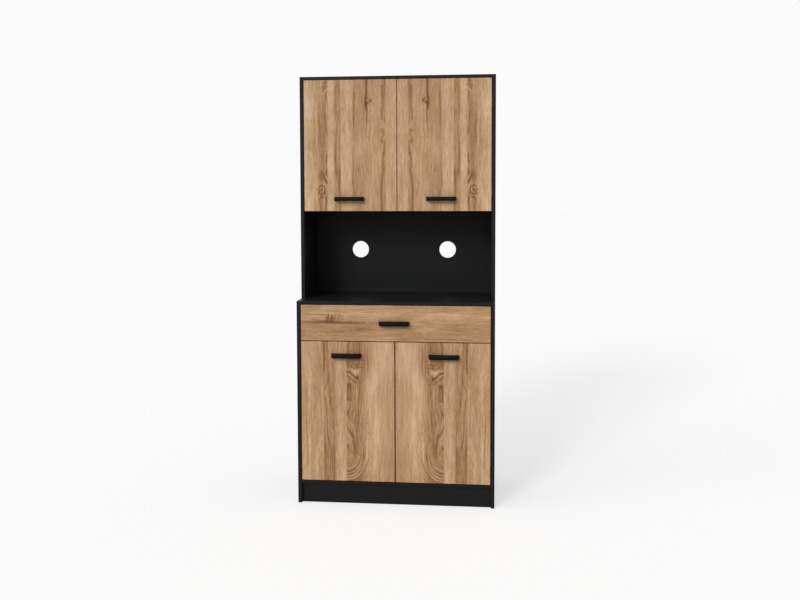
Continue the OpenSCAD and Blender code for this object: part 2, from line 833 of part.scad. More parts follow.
module board_screws() {
    color(zinc) both_sides() {
        for (z = low_hinges)
            at_hinge(front_y, z) plate_screw_places() translate([-plate_t, 0, 0]) wood_screw(screw_len);
        for (z = up_hinges)
            at_hinge(hutch_y, z) plate_screw_places() translate([-plate_t, 0, 0]) wood_screw(screw_len);
        for (y = runner_screws)
            translate([-inner + runner_t, y, runner_z]) rotate([0, 0, 180]) wood_screw(screw_len);
        join_screw_x() translate([-bracket_t, 0, 0]) wood_screw(screw_len);
        join_screw_z() translate([-bracket_t, 0, 0]) wood_screw(short_screw + bracket_t);
        wall_bracket_screw() translate([-bracket_t, 0, 0]) wood_screw(short_screw + bracket_t);
    }
}

module door_bumpers() {
    thick = bumper_gap - arm_gap;
    color([0.25, 0.25, 0.25]) both_sides() {
        rod_y(-bumper_x, hutch_inner_y - thick, hutch_inner_y, hutch_floor_z + board_t / 2, bumper_r);
        rod_y(-bumper_x, base_inner_y - thick, base_inner_y, divider_z + board_t / 2, bumper_r);
    }
}

// Groups of hinge parts on the side boards
module all_hinges() {
    both_sides() {
        for (z = low_hinges)
            at_hinge(front_y, z) children();
        for (z = up_hinges)
            at_hinge(hutch_y, z) children();
    }
}

module hinge_plates() { color(zinc) all_hinges() hinge_plate(); }

module hinge_arms() { color(zinc) all_hinges() hinge_arm(); }

module hinge_arm_pins() { color([0.55, 0.56, 0.58]) all_hinges() hinge_pin(arm_pin, arm_half); }

module hinge_arm_screws() {
    color([0.6, 0.61, 0.63]) all_hinges()
        translate([arm_high, arm_screw_y, 0]) rotate([0, 0, 180]) machine_screw(arm_high - arm_low - loose);
}

// Doors and what rides on them. The left one of each pair is drawn, and the right one mirrored
module upper_part(right) { side(right) for (z = up_hinges) at_hinge(hutch_y, z) children(); }

module lower_part(right) { side(right) for (z = low_hinges) at_hinge(front_y, z) children(); }

module upper_front_place(right) {
    x = right ? door_x + upper_right_shift : -door_x - upper_left_shift;
    translate([x, hutch_y, up_handle_z]) children();
}

module lower_front_place(right) {
    translate([(right ? 1 : -1) * (door_x + lower_shift), front_y, low_handle_z]) children();
}

module drawer_front_place() { translate([drawer_shift, front_y, drawer_handle_z]) children(); }

module upper_door(right) {
    color(oak) difference() {
        side(right) front_board(-inner + front_gap, -middle_gap / 2, hutch_y, up_door_low_z, up_door_top_z);
        upper_part(right) cup_cuts();
        upper_front_place(right) handle_cuts();
    }
}

module lower_door(right) {
    color(oak) difference() {
        side(right) front_board(-inner + front_gap, -middle_gap / 2, front_y, low_door_low_z, low_door_top_z);
        lower_part(right) cup_cuts();
        lower_front_place(right) handle_cuts();
    }
}

module cup_screws() {
    for (s = [-1, 1])
        translate([cup_screw_x, front_t + flange_t, s * cup_screw_z])
            rotate([0, 0, -90]) wood_screw(cup_screw_len + flange_t);
}

module upper_left_links() { color(zinc) upper_part(false) hinge_link(); }

module upper_right_links() { color(zinc) upper_part(true) hinge_link(); }

module lower_left_links() { color(zinc) lower_part(false) hinge_link(); }

module lower_right_links() { color(zinc) lower_part(true) hinge_link(); }

module upper_left_door() { upper_door(false); }

module upper_right_door() { upper_door(true); }

module lower_left_door() { lower_door(false); }

module lower_right_door() { lower_door(true); }

module upper_left_cups() { color(zinc) upper_part(false) hinge_cup(); }

module upper_right_cups() { color(zinc) upper_part(true) hinge_cup(); }

module lower_left_cups() { color(zinc) lower_part(false) hinge_cup(); }

module lower_right_cups() { color(zinc) lower_part(true) hinge_cup(); }

module upper_left_handle() { color(black) upper_front_place(false) handle(); }

module upper_right_handle() { color(black) upper_front_place(true) handle(); }

module lower_left_handle() { color(black) lower_front_place(false) handle(); }

module lower_right_handle() { color(black) lower_front_place(true) handle(); }

module upper_screws(right) {
    color(zinc) {
        upper_part(right) cup_screws();
        upper_front_place(right) handle_screws();
    }
}

module lower_screws(right) {
    color(zinc) {
        lower_part(right) cup_screws();
        lower_front_place(right) handle_screws();
    }
}

module upper_left_screws() { upper_screws(false); }

module upper_right_screws() { upper_screws(true); }

module lower_left_screws() { lower_screws(false); }

module lower_right_screws() { lower_screws(true); }

// Drawer runners: a channel on each side board, and a rail under each side of the drawer
module at_runner() { translate([-inner, 0, runner_z]) children(); }

module cabinet_runner() {
    difference() {
        union() {
            box([0, runner_y0, -channel_half - runner_t], [runner_t, runner_y1, channel_half + runner_t]);
            for (z = [-channel_half - runner_t, channel_half])
                box([0, front_roller_y + roller_clear, z], [channel_w, runner_y1, z + runner_t]);
            box([0, runner_y1 - runner_t, -channel_half], [channel_w, runner_y1, channel_half]);
            axle(front_roller_y, front_roller_z - runner_z, runner_t - weld, false);
        }
        for (y = runner_screws)
            rod_x(-eps, runner_t + eps, y, 0, screw_r + fit);
    }
}

// Riveted axle of a roller, from a sheet's face at x, pointing right or left
module axle(y, z, x, to_left) {
    head = to_left ? roller_x : roller_x + roller_w - axle_head_t;
    end = to_left ? roller_x : roller_x + roller_w;
    rod_x(min(x, end), max(x, end), y, z, axle_r);
    rod_x(head, head + axle_head_t, y, z, axle_head_r);
}

module roller(y, z, head_left) {
    pocket = head_left ? roller_x - eps : roller_x + roller_w - axle_head_t - loose;
    difference() {
        rod_x(roller_x, roller_x + roller_w, y, z, roller_r);
        rod_x(roller_x - eps, roller_x + roller_w + eps, y, z, axle_r + fit);
        rod_x(pocket, pocket + axle_head_t + loose + eps, y, z, axle_head_r + loose);
    }
}

module drawer_rail() {
    x0 = runner_w - runner_t;
    y0 = box_front_y + rail_setback;
    low = box_low_z - runner_z;
    difference() {
        union() {
            box([x0, y0, low - runner_t], [runner_w, box_rear_y, rail_top + runner_t]);
            box([x0, y0, low - runner_t], [runner_w + drawer_board_t, box_rear_y, low]);
            box([roller_x, y0, rail_top], [runner_w, rear_roller_y - roller_clear, rail_top + runner_t]);
            axle(rear_roller_y, rear_roller_z - runner_z, x0 + weld, true);
        }
        for (y = rail_screws)
            rod_z(runner_w + drawer_board_t / 2, y, low - runner_t - eps, low + eps, screw_r + fit);
    }
}

module cabinet_runners() { color([0.92, 0.92, 0.9]) both_sides() at_runner() cabinet_runner(); }

module drawer_rails() { color([0.92, 0.92, 0.9]) both_sides() at_runner() drawer_rail(); }

module cabinet_rollers() {
    color("white") both_sides() at_runner() roller(front_roller_y, front_roller_z - runner_z, false);
}

module drawer_rollers() {
    color("white") both_sides() at_runner() roller(rear_roller_y, rear_roller_z - runner_z, true);
}

// Drawer box
module front_dowel_cuts() {
    for (z = drawer_dowel_zs)
        rod_y(-side_mid_x, front_dowel_y - loose, front_dowel_y + dowel_len + loose, z, dowel_r);
}

module back_dowel_cuts() {
    for (z = drawer_dowel_zs)
        rod_x(back_dowel_x, back_dowel_x + dowel_len + loose, back_mid_y, z, dowel_r);
}

module drawer_front() {
    color(oak) difference() {
        front_board(-inner + front_gap, inner - front_gap, front_y, drawer_low_z, drawer_top_z);
        both_sides() front_dowel_cuts();
        drawer_front_place() handle_cuts();
        box([-box_inner, box_front_y - drawer_groove_d, box_floor_z - fit],
            [box_inner, box_front_y + eps, box_floor_z + drawer_bottom_t + fit]);
    }
}

module drawer_side() {
    difference() {
        box([-box_half, box_front_y, box_low_z], [-box_inner, box_rear_y, box_low_z + drawer_side_h]);
        box([-box_inner - drawer_groove_d, box_front_y - eps, box_floor_z - fit],
            [-box_inner + eps, box_rear_y + eps, box_floor_z + drawer_bottom_t + fit]);
        front_dowel_cuts();
        back_dowel_cuts();
        for (y = rail_screws)
            rod_z(-side_mid_x, y, box_low_z - eps, box_low_z + drawer_screw_len + loose, screw_r + fit);
    }
}

module drawer_side_left() { color(black) drawer_side(); }

module drawer_side_right() { color(black) side(true) drawer_side(); }

module drawer_back() {
    color(black) difference() {
        box([-box_inner, box_rear_y - drawer_board_t, box_floor_z + drawer_bottom_t],
            [box_inner, box_rear_y, box_low_z + drawer_side_h]);
        both_sides() back_dowel_cuts();
    }
}

module drawer_bottom() {
    grip = drawer_groove_d - groove_play;
    color(black) union() {
        box([-box_inner - grip, box_front_y, box_floor_z],
            [box_inner + grip, box_rear_y, box_floor_z + drawer_bottom_t]);
        box([-box_inner + loose, box_front_y - grip, box_floor_z],
            [box_inner - loose, box_front_y + eps, box_floor_z + drawer_bottom_t]);
    }
}

module drawer_dowels() {
    color([0.8, 0.68, 0.5]) both_sides() for (z = drawer_dowel_zs) {
        rod_y(-side_mid_x, front_dowel_y, front_dowel_y + dowel_len, z, dowel_r - fit);
        rod_x(back_dowel_x + fit, back_dowel_x + dowel_len, back_mid_y, z, dowel_r - fit);
    }
}

module drawer_handle() { color(black) drawer_front_place() handle(); }

module drawer_screws() {
    color(zinc) {
        drawer_front_place() handle_screws();
        both_sides() for (y = rail_screws)
            translate([-side_mid_x, y, box_low_z - runner_t])
                rotate([0, -90, 0]) wood_screw(drawer_screw_len + runner_t);
    }
}

base_side_left();
base_side_right();
base_bottom();
worktop();
plinth();
drawer_divider();
base_shelf();
base_back();
hutch_side_left();
hutch_side_right();
hutch_top();
hutch_floor();
hutch_shelf();
hutch_back();
cam_locks();
cam_bolts();
dowels();
shelf_pins();
joining_brackets();
wall_brackets();
board_screws();
door_bumpers();
hinge_plates();
hinge_arms();
hinge_arm_pins();
hinge_arm_screws();
upper_left_links();
upper_right_links();
lower_left_links();
lower_right_links();
upper_left_door();
upper_right_door();
lower_left_door();
lower_right_door();
upper_left_cups();
upper_right_cups();
lower_left_cups();
lower_right_cups();
upper_left_handle();
upper_right_handle();
lower_left_handle();
lower_right_handle();
upper_left_screws();
upper_right_screws();
lower_left_screws();
lower_right_screws();
cabinet_runners();
cabinet_rollers();
drawer_rails();
drawer_rollers();
drawer_front();
drawer_side_left();
drawer_side_right();
drawer_back();
drawer_bottom();
drawer_dowels();
drawer_handle();
drawer_screws();
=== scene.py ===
# Kitchen cabinet: dresses the CAD frame with its finishes and finely shaped pieces
import math

import bmesh
import bpy
from mathutils import Matrix, Vector


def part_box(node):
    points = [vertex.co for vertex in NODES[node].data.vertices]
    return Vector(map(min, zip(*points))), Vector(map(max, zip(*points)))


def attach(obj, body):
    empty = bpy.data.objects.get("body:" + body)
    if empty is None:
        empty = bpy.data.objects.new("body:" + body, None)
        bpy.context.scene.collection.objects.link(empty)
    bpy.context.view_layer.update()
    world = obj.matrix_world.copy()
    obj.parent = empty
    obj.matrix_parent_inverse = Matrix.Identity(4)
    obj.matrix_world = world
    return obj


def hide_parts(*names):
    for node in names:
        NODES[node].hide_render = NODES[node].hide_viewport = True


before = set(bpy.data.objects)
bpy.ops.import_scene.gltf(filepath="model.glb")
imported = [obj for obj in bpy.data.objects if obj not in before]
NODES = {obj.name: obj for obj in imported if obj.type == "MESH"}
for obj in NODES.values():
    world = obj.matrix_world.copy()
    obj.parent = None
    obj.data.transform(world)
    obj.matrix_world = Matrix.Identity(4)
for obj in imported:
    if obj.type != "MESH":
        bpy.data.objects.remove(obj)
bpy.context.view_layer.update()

bl_info = {
    "name": "Kitchen Cabinet Dresser",
    "version": (1, 0, 0),
    "blender": (4, 5, 0),
    "location": "View3D > Sidebar > Cabinet",
    "description": "Gives a tall kitchen cabinet its oak fronts, black boards, handles and fittings",
    "category": "Object",
}

MM = 0.001
TINY = 0.01 * MM
DOORS = ("upper_left", "upper_right", "lower_left", "lower_right")
HANDLE_LOW, HANDLE_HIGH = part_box("drawer_handle")
HANDLE_SIZE = HANDLE_HIGH - HANDLE_LOW
HANDLE_CENTRE = (HANDLE_LOW + HANDLE_HIGH) / 2

# The camera that the photograph's edges fit, in metres, radians and pixels
CAMERA_PLACE = (0.4002, -3.8185, 1.2644)
CAMERA_YAW, CAMERA_PITCH, CAMERA_ROLL = 0.1038, -0.0617, -0.0025
CAMERA_FOCUS, CAMERA_CENTRE = 918.0, (400, 250)
PICTURE = (800, 600)
SENSOR_WIDTH = 36.0

# Boards by their sides without an edge strip, where the raw chipboard shows
RAW_SIDES = {
    "rear foot": ("base_side_left", "base_side_right", "hutch_side_left", "hutch_side_right", "plinth"),
    "rear": (
        "base_bottom", "worktop", "drawer_divider", "base_shelf", "hutch_top", "hutch_floor", "hutch_shelf"),
    "foot": ("drawer_side_left", "drawer_side_right", "drawer_back"),
}
STEEL_NODES = (
    "cam_locks", "cam_bolts", "shelf_pins", "joining_brackets", "wall_brackets", "board_screws",
    "hinge_plates", "hinge_arms", "hinge_arm_pins", "hinge_arm_screws", "drawer_screws",
    *(door + part for door in DOORS for part in ("_links", "_cups", "_screws")),
)

# Millimetres from a board's faces to where its raw inside shows, and from a bare side that shows it too
SKIN = 0.4
BARE_SIDE = 0.2


def srgb(red, green, blue):
    """Colour of a screen's 0 to 255 values as linear light."""
    shares = (value / 255 for value in (red, green, blue))
    return tuple(((s + 0.055) / 1.055) ** 2.4 if s > 0.04 else s / 12.92 for s in shares)


def opaque(colour):
    return (*colour[:3], 1.0)


def grey(value):
    return (value, value, value, 1.0)


def shade(colour, share):
    """A darker or lighter version of a colour."""
    return [c * share for c in colour]


# Materials
class Wire:
    """A socket's value, on which Python's operators add Math nodes."""

    def __init__(self, graph, socket):
        self.graph = graph
        self.socket = socket

    def __add__(self, other):
        return self.graph.maths("ADD", self, other)

    def __sub__(self, other):
        return self.graph.maths("SUBTRACT", self, other)

    def __rsub__(self, other):
        return self.graph.maths("SUBTRACT", other, self)

    def __mul__(self, other):
        return self.graph.maths("MULTIPLY", self, other)

    def __truediv__(self, other):
        return self.graph.maths("DIVIDE", self, other)

    def __gt__(self, other):
        return self.graph.maths("GREATER_THAN", self, other)

    def __lt__(self, other):
        return self.graph.maths("LESS_THAN", self, other)

    def __abs__(self):
        return self.graph.maths("ABSOLUTE", self)

    __radd__ = __add__
    __rmul__ = __mul__


class Graph:
    """The nodes of one material or world."""

    def __init__(self, owner):
        self.owner = owner
        owner.use_nodes = True
        self.tree = owner.node_tree
        self.tree.nodes.clear()

    @staticmethod
    def find(sockets, key):
        """Socket of that number, or the one of that name that the node's settings leave in use."""
        if isinstance(key, int):
            return sockets[key]
        return next(s for s in sockets if s.name == key and s.enabled)

    def node(self, kind, settings=None, values=None, output=0):
        """Adds a shader node of a kind with its settings, then its sockets' values or links.
        Gives one output."""
        new = self.tree.nodes.new("ShaderNode" + kind)
        for name, setting in (settings or {}).items():
            if name == "stops":
                elements = new.color_ramp.elements
                while len(elements) < len(setting):
                    elements.new(1.0)
                for element, (position, colour) in zip(elements, setting):
                    element.position = position
                    element.color = colour
            elif name == "interpolation":
                new.color_ramp.interpolation = setting
            else:
                setattr(new, name, setting)
        for key, value in (values or {}).items():
            socket = self.find(new.inputs, key)
            if isinstance(value, Wire):
                self.tree.links.new(value.socket, socket)
            else:
                socket.default_value = value
        return Wire(self, self.find(new.outputs, output)) if len(new.outputs) else None

    def maths(self, operation, *values):
        return self.node("Math", {"operation": operation}, dict(enumerate(values)))

    def vector(self, x, y, z=0.0):
        return self.node("CombineXYZ", None, {0: x, 1: y, 2: z})

    def vectors(self, operation, first, second, output="Vector"):
        values = {0: first, "Scale" if operation == "SCALE" else 1: second}
        return self.node("VectorMath", {"operation": operation}, values, output)

    def noise(self, x, y, z=0.0, detail=2.0):
        """Soft noise from 0 to 1, one swell per unit of x and y, and of z or its seed."""
        values = {"Vector": self.vector(x, y, z), "Scale": 1.0, "Detail": detail}
        return self.node("TexNoise", None, values)

    def cells(self, x, y, z, scale):
        """Flat coloured cells."""
        values = {"Vector": self.vector(x, y, z), "Scale": scale}
        return self.node("TexVoronoi", None, values, "Color")

    def ease(self, value, low, high):
        """0 below low, 1 above high, smooth between."""
        values = {"Value": value, "From Min": low, "From Max": high}
        return self.node("MapRange", {"interpolation_type": "SMOOTHSTEP"}, values)

    def fade(self, value, width):
        """1 where the value is 0, falling smoothly to 0 at the width on both sides."""
        values = {"Value": abs(value), "From Min": 0.0, "From Max": width, "To Min": 1.0, "To Max": 0.0}
        return self.node("MapRange", {"interpolation_type": "SMOOTHSTEP"}, values)

    def span(self, value, low, high, soft):
        """1 between low and high, with soft ends."""
        return self.ease(value, low - soft, low + soft) * (1.0 - self.ease(value, high - soft, high + soft))

    def ramp(self, value, stops, interpolation="LINEAR"):
        settings = {"stops": stops, "interpolation": interpolation}
        return self.node("ValToRGB", settings, {"Fac": value})

    def mix(self, factor, first, second, blend="MIX"):
        """Blend of two colours, which are wires or plain colours."""
        first, second = (c if isinstance(c, Wire) else opaque(c) for c in (first, second))
        settings = {"data_type": "RGBA", "blend_type": blend}
        return self.node("Mix", settings, {"Factor": factor, "A": first, "B": second}, "Result")

    def bump(self, height, depth):
        return self.node("Bump", None, {"Height": height, "Distance": depth, "Strength": 1.0})

    def millimetres(self):
        """The three Object coordinates in millimetres."""
        place = self.node("TexCoord", None, None, "Object")
        return [self.node("SeparateXYZ", None, {0: place}, axis) / MM for axis in "XYZ"]

    def finish(self, colour, roughness, normal, gloss=0.5, metallic=0.0):
        """Principled shader on the output, with one gloss and metallic value all over; gives the material."""
        values = {
            "Base Color": colour, "Roughness": roughness, "Normal": normal, "Specular IOR Level": gloss,
            "Metallic": metallic
        }
        shader = self.node("BsdfPrincipled", None, values)
        self.node("OutputMaterial", None, {"Surface": shader})
        return self.owner


def new_material(name):
    return Graph(bpy.data.materials.new(name))


def give(obj, material):
    """Puts a material on every slot of an object."""
    if not obj.material_slots:
        obj.data.materials.append(material)
    for slot in obj.material_slots:
        slot.material = material


def box_mm(node):
    """Lowest and highest corner of a CAD node in millimetres."""
    return [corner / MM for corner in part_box(node)]


def inside(node, place):
    """1 deeper than the skin inside a board's box, as on the walls of its holes and grooves."""
    mask = 1.0
    for value, low, high in zip(place, *box_mm(node)):
        mask = (value > low + SKIN) * (value < high - SKIN) * mask
    return mask


def chipboard(graph, props, place):
    """Colour of the raw wood chips."""
    chips = graph.cells(*place, 0.55)
    flecks = graph.noise(*(value / 1.6 for value in place))
    colour = graph.mix(graph.ease(flecks, 0.35, 0.65), props.chip_dark, props.chip_pale)
    return graph.mix(0.35, colour, chips, "SOFT_LIGHT")


class Decor:
    """Oak print of a front: a tone from 0, deep brown, to 1, pale, over u and v in millimetres.
    The grain runs along v."""

    # Width, length, strength and detail of the streaks
    STREAKS = (
        (60, 150, 0.30, 1.0), (26, 120, 0.24, 1.0), (12, 170, 0.46, 2.0), (5, 70, 0.46, 2.0),
        (2.2, 26, 0.54, 1.0)
    )
    PORE_WIDTH, PORE_LENGTH, PORE_DARKNESS = 0.55, 11, 0.20
    DRIFT, STAVE_WAVER, RING_WAVER = 9.0, 3.0, 11.0
    RING_FADE, RING_CORE, RING_EDGE = 60, 0.7, 1.5
    GOLDEN_SHARE, SEED_REACH = 0.618, 40.0

    def __init__(self, graph, u, v, strength):
        self.graph = graph
        self.u = u
        self.v = v
        self.flow = (graph.noise(u / 240, v / 150, 3.7) - 0.5) * self.DRIFT + u
        self.strength = strength

    def knot(self, u, v, radius, stretch=2.0, bend=0.6):
        """Bends the grain round a knot."""
        du, dv = self.u - u, (self.v - v) / stretch
        shift = du * self.graph.fade(self.graph.maths("SQRT", du * du + dv * dv), radius) * bend
        self.u, self.flow = self.u - shift, self.flow - shift

    def half_rings(self, u, v, above, below, reach, top):
        """Turns the grain beside u into half rings, stretched above and below v.
        Gives their radius and mask."""
        graph = self.graph
        du, dv = self.u - u, self.v - v
        along = graph.maths("MAXIMUM", dv, 0.0) / above + graph.maths("MINIMUM", dv, 0.0) / below
        waver = (graph.noise(self.u / 20, self.v / 34, 9.0) - 0.5) * self.RING_WAVER
        radius = graph.maths("SQRT", du * du + along * along) + waver
        mask = graph.ease(self.u, u - reach, u - reach * self.RING_CORE)
        mask = mask * (1.0 - graph.ease(self.v, top - self.RING_FADE, top + self.RING_FADE))
        mask = mask * (1.0 - graph.ease(self.u, u - self.RING_EDGE, u + self.RING_EDGE))
        self.flow = (u - radius - self.flow) * mask + self.flow
        return radius, mask

    def staves(self, rows, width):
        """Base tone and seed of each stave, from rows of its start, first tone, last tone and soft start."""
        graph, stops, seeds = self.graph, [], []
        ends = [(row[0], row[3]) for row in rows[1:]] + [(width, 0.0)]
        for number, ((start, first, last, soft), (end, end_soft)) in enumerate(zip(rows, ends)):
            stops += [((start + soft) / width, grey(first)), ((end - end_soft) / width, grey(last))]
            seeds.append((start / width, grey(number * self.GOLDEN_SHARE % 1.0)))
        place = ((graph.noise(self.u / 60, self.v / 90, 6.1) - 0.5) * self.STAVE_WAVER + self.u) / width
        self.tone = graph.ramp(place, stops)
        self.seed = graph.ramp(place, seeds, "CONSTANT") * self.SEED_REACH

    def grain(self, calm=0.0):
        """Streaks of all widths and pores, each stave with its own run; calm is a mask that quiets them."""
        graph, u, v, seed = self.graph, self.flow, self.v, self.seed
        streaks = 0.0
        for across, along, amount, detail in self.STREAKS:
            noise = graph.noise(u / across, v / along, seed, detail)
            streaks = (noise - 0.5) * (amount * self.strength) + streaks
        self.pores = graph.ease(graph.noise(u / self.PORE_WIDTH, v / self.PORE_LENGTH, seed, 0.0), 0.60, 0.74)
        streaks = streaks - self.pores * (self.PORE_DARKNESS * self.strength)
        self.tone = self.tone + streaks * (1.0 - calm)
        self.tint = graph.ease(graph.noise(u / 26, v / 120, seed + 7.0), 0.3, 0.7)

    def rings(self, radius, mask, radii, width, change, top):
        """Year rings of a few radii, paler above the top."""
        low = (1.0 - self.graph.ease(self.v, top - 50, top + 50)) * mask
        for r in radii:
            self.tone = self.tone + self.graph.fade(radius - r, width) * low * change

    def patch(self, change, u, v, half_u, half_v):
        """A soft lighter or darker patch."""
        du, dv = (self.u - u) / half_u, (self.v - v) / half_v
        self.tone = self.tone + self.graph.fade(du * du + dv * dv, 1.0) * change

    def band(self, change, u0, u1, v0, v1, soft_u, soft_v):
        """A band along the grain with fairly sharp sides and soft ends."""
        mask = self.graph.span(self.u, u0, u1, soft_u) * self.graph.span(self.v, v0, v1, soft_v)
        self.tone = self.tone + mask * change

    def stroke(self, change, u, v0, v1, width, waver, soft):
        """A straight streak along the grain with wavering sides and soft ends."""
        middle = (self.graph.noise(self.v / 45, u) - 0.5) * (2 * waver) + u
        mask = self.graph.fade(self.u - middle, width) * self.graph.span(self.v, v0, v1, soft)
        self.tone = self.tone + mask * change

    def dash(self, change, v, u0, u1, width, lean=3):
        """A short thick stroke across the grain."""
        length = math.hypot(u1 - u0, lean)
        cu, cv = (u1 - u0) / length, lean / length
        du, dv = self.u - (u0 + u1) / 2, self.v - (v + lean / 2)
        along = (du * cu + dv * cv) / (length / 2 + width)
        across = (dv * cu - du * cv) / width
        mask = self.graph.fade(along * along * along * along + across * across, 1.0)
        self.tone = self.tone + mask * change

    def line(self, change, width, *places):
        """A bent line through points, whose u and v come in turn."""
        graph, points = self.graph, list(zip(places[::2], places[1::2]))
        place = graph.vector(self.u, self.v)
        nearest = None
        for (u0, v0), (u1, v1) in zip(points, points[1:]):
            step = Vector((u1 - u0, v1 - v0, 0))
            offset = graph.vectors("SUBTRACT", place, (u0, v0, 0))
            share = graph.vectors("DOT_PRODUCT", offset, step / step.length_squared, "Value")
            share = graph.maths("MAXIMUM", graph.maths("MINIMUM", share, 1.0), 0.0)
            distance = graph.vectors("DISTANCE", offset, graph.vectors("SCALE", step, share), "Value")
            nearest = distance if nearest is None else graph.maths("MINIMUM", distance, nearest)
        self.tone = self.tone + graph.fade(nearest, width) * change

    def draw(self, lines=(), bands=(), patches=(), strokes=(), dashes=()):
        """All marks of a front, each from a row with its change of tone first."""
        for mark, rows in (
            (self.line, lines), (self.band, bands), (self.patch, patches), (self.stroke, strokes),
            (self.dash, dashes)
        ):
            for row in rows:
                mark(*row)


def oak_finish(decor, props, node, place, seam_shade_depth=0.0):
    """Colour, roughness and pore relief from a decor, with painted shade along a front's edges for the dark
    seams between fronts, and raw board in the holes.
    """
    graph = decor.graph
    # The darker rim along all four edges of a front is painted shade, standing in for the shade in the seams
    # between the fronts
    if seam_shade_depth:
        low, high = box_mm(node)
        rim, (x, _, z) = props.rim / MM, place
        face = (x > low.x + rim) * (x < high.x - rim) * (z > low.z + rim) * (z < high.z - rim)
        decor.tone = (1.0 - face) * -seam_shade_depth + decor.tone
    stops = (
        (-0.25, props.knot), (0.0, props.deep), (0.25, props.brown), (0.55, props.middle),
        (0.78, props.light), (1.0, props.pale)
    )
    lowest, reach = stops[0][0], stops[-1][0] - stops[0][0]
    stops = [((tone - lowest) / reach, opaque(colour)) for tone, colour in stops]
    colour = graph.ramp((decor.tone - lowest) / reach, stops)
    tint = graph.mix(decor.tint, props.yellow, props.pink)
    colour = graph.mix(1.0, colour, tint, "MULTIPLY")
    colour = graph.mix(inside(node, place), colour, chipboard(graph, bpy.context.scene.cabinet_boards, place))
    roughness = graph.ease(decor.tone, 0.0, 1.0) * -0.08 + props.roughness + decor.pores * 0.15
    relief = graph.bump(decor.pores * -1.0, props.pore_depth)
    return graph.finish(colour, roughness, relief, props.gloss)


# A row of a table has the change of tone first, then the other values of the mark's method. Places on the
# doors are counted from the split between them and from the floor, in millimetres
DOOR_SPLIT_TO_SIDE = 384
UPPER_STAVES = (
    (0, 0.56, 0.6, 2), (46, 0.42, 0.42, 3), (66, 0.56, 0.6, 4), (119, 0.46, 0.46, 2), (131, 0.48, 0.48, 2),
    (185, 0.62, 0.66, 4), (230, 0.42, 0.44, 2), (258, 0.64, 0.64, 4), (286, 0.42, 0.42, 3),
    (326, 0.54, 0.8, 4)
)
UPPER_LINES = (
    (-0.34, 10, 121, 1738, 123, 1700, 121, 1675, 124, 1658),
    (-0.24, 7, 125, 1738, 125, 1670, 123, 1615, 125, 1560, 125, 1490),
    (-0.2, 9, 124, 1630, 121, 1600, 123, 1560), (-0.28, 6.5, 125, 1652, 117, 1649, 109, 1643),
    (-0.42, 7.5, 111, 1640, 118, 1634, 125, 1625), (-0.26, 8, 127, 1648, 124, 1630, 125, 1608),
    (-0.2, 8, 48, 1724, 51, 1660, 54, 1600, 50, 1550), (-0.32, 8, 60, 1700, 59, 1650, 61, 1600, 61, 1565),
    (-0.3, 8, 54, 1508, 60, 1490, 62, 1472), (-0.3, 7, 51, 1476, 50, 1450, 54, 1425),
    (-0.34, 9, 54, 1425, 58, 1395, 57, 1360, 61, 1320, 65, 1280, 63, 1185), (-0.2, 6, 48, 1400, 50, 1340),
    (-0.14, 6, 177, 1740, 175, 1640, 177, 1520, 181, 1480),
    (-0.2, 7, 181, 1450, 180, 1400, 183, 1340, 180, 1290, 172, 1250), (-0.12, 9, 100, 1740, 96, 1620),
    (-0.2, 9, 242, 1600, 246, 1540, 252, 1480, 254, 1400, 248, 1340), (-0.14, 7, 238, 1520, 237, 1440),
    (-0.26, 8, 236, 1360, 238, 1280, 235, 1185), (-0.14, 6, 140, 1380, 136, 1330),
    (-0.36, 6, 286, 1716, 297, 1708, 305, 1694), (-0.36, 6, 284, 1702, 294, 1697, 303, 1682),
    (-0.36, 6, 290, 1722, 303, 1714), (-0.36, 6, 284, 1678, 292, 1672, 291, 1656),
    (-0.36, 6, 288, 1422, 292, 1392), (-0.36, 6, 289, 1362, 294, 1346, 291, 1338),
    (-0.36, 6, 290, 1307, 301, 1337), (-0.36, 6, 290, 1310, 297, 1326),
    (-0.36, 6, 322, 1292, 314, 1298, 303, 1294, 297, 1284, 299, 1272),
    (-0.36, 6, 325, 1283, 320, 1272, 326, 1262), (-0.36, 6, 309, 1284, 312, 1276),
    (-0.36, 6, 298, 1266, 310, 1263, 317, 1256), (-0.36, 6, 304, 1252, 313, 1247, 321, 1240),
    (0.22, 4.6, 288, 1322, 294, 1334), (0.22, 4.6, 318, 1289, 308, 1287, 303, 1277),
    (0.22, 4.6, 315, 1270, 304, 1269), (0.22, 4.6, 321, 1255, 309, 1256), (-0.26, 6, 291, 1250, 293, 1190),
    (-0.22, 6, 320, 1236, 316, 1215, 317, 1190), (-0.18, 7, 290, 1650, 296, 1620, 292, 1560, 288, 1500)
)
UPPER_BANDS = (
    (-0.16, 46, 66, 1650, 1740, 3, 30), (-0.08, 66, 119, 1520, 1740, 4, 90),
    (-0.08, 131, 180, 1560, 1740, 1.5, 60), (-0.14, 232, 258, 1600, 1740, 3, 60),
    (0.05, 260, 282, 1180, 1740, 5, 30), (-0.07, 288, 324, 1340, 1570, 3, 60),
    (-0.12, 294, 322, 1460, 1650, 4, 50), (-0.08, 300, 320, 1350, 1440, 5, 30)
)
UPPER_PATCHES = (
    (-0.14, 116, 1640, 18, 28), (-0.22, 58, 1520, 12, 12), (-0.3, 312, 1335, 18, 34),
    (-0.12, 312, 1275, 22, 34)
)


def upper_oak(props):
    """Oak of the upper doors, mirrored at the split between them."""
    graph = new_material("oak_upper_doors")
    x, y, z = graph.millimetres()
    decor = Decor(graph, abs(x), z, props.streaks)
    decor.knot(118, 1635, 26)
    decor.staves(UPPER_STAVES, DOOR_SPLIT_TO_SIDE)
    decor.grain()
    decor.draw(UPPER_LINES, UPPER_BANDS, UPPER_PATCHES)
    return oak_finish(decor, props, "upper_right_door", (abs(x), y, z))


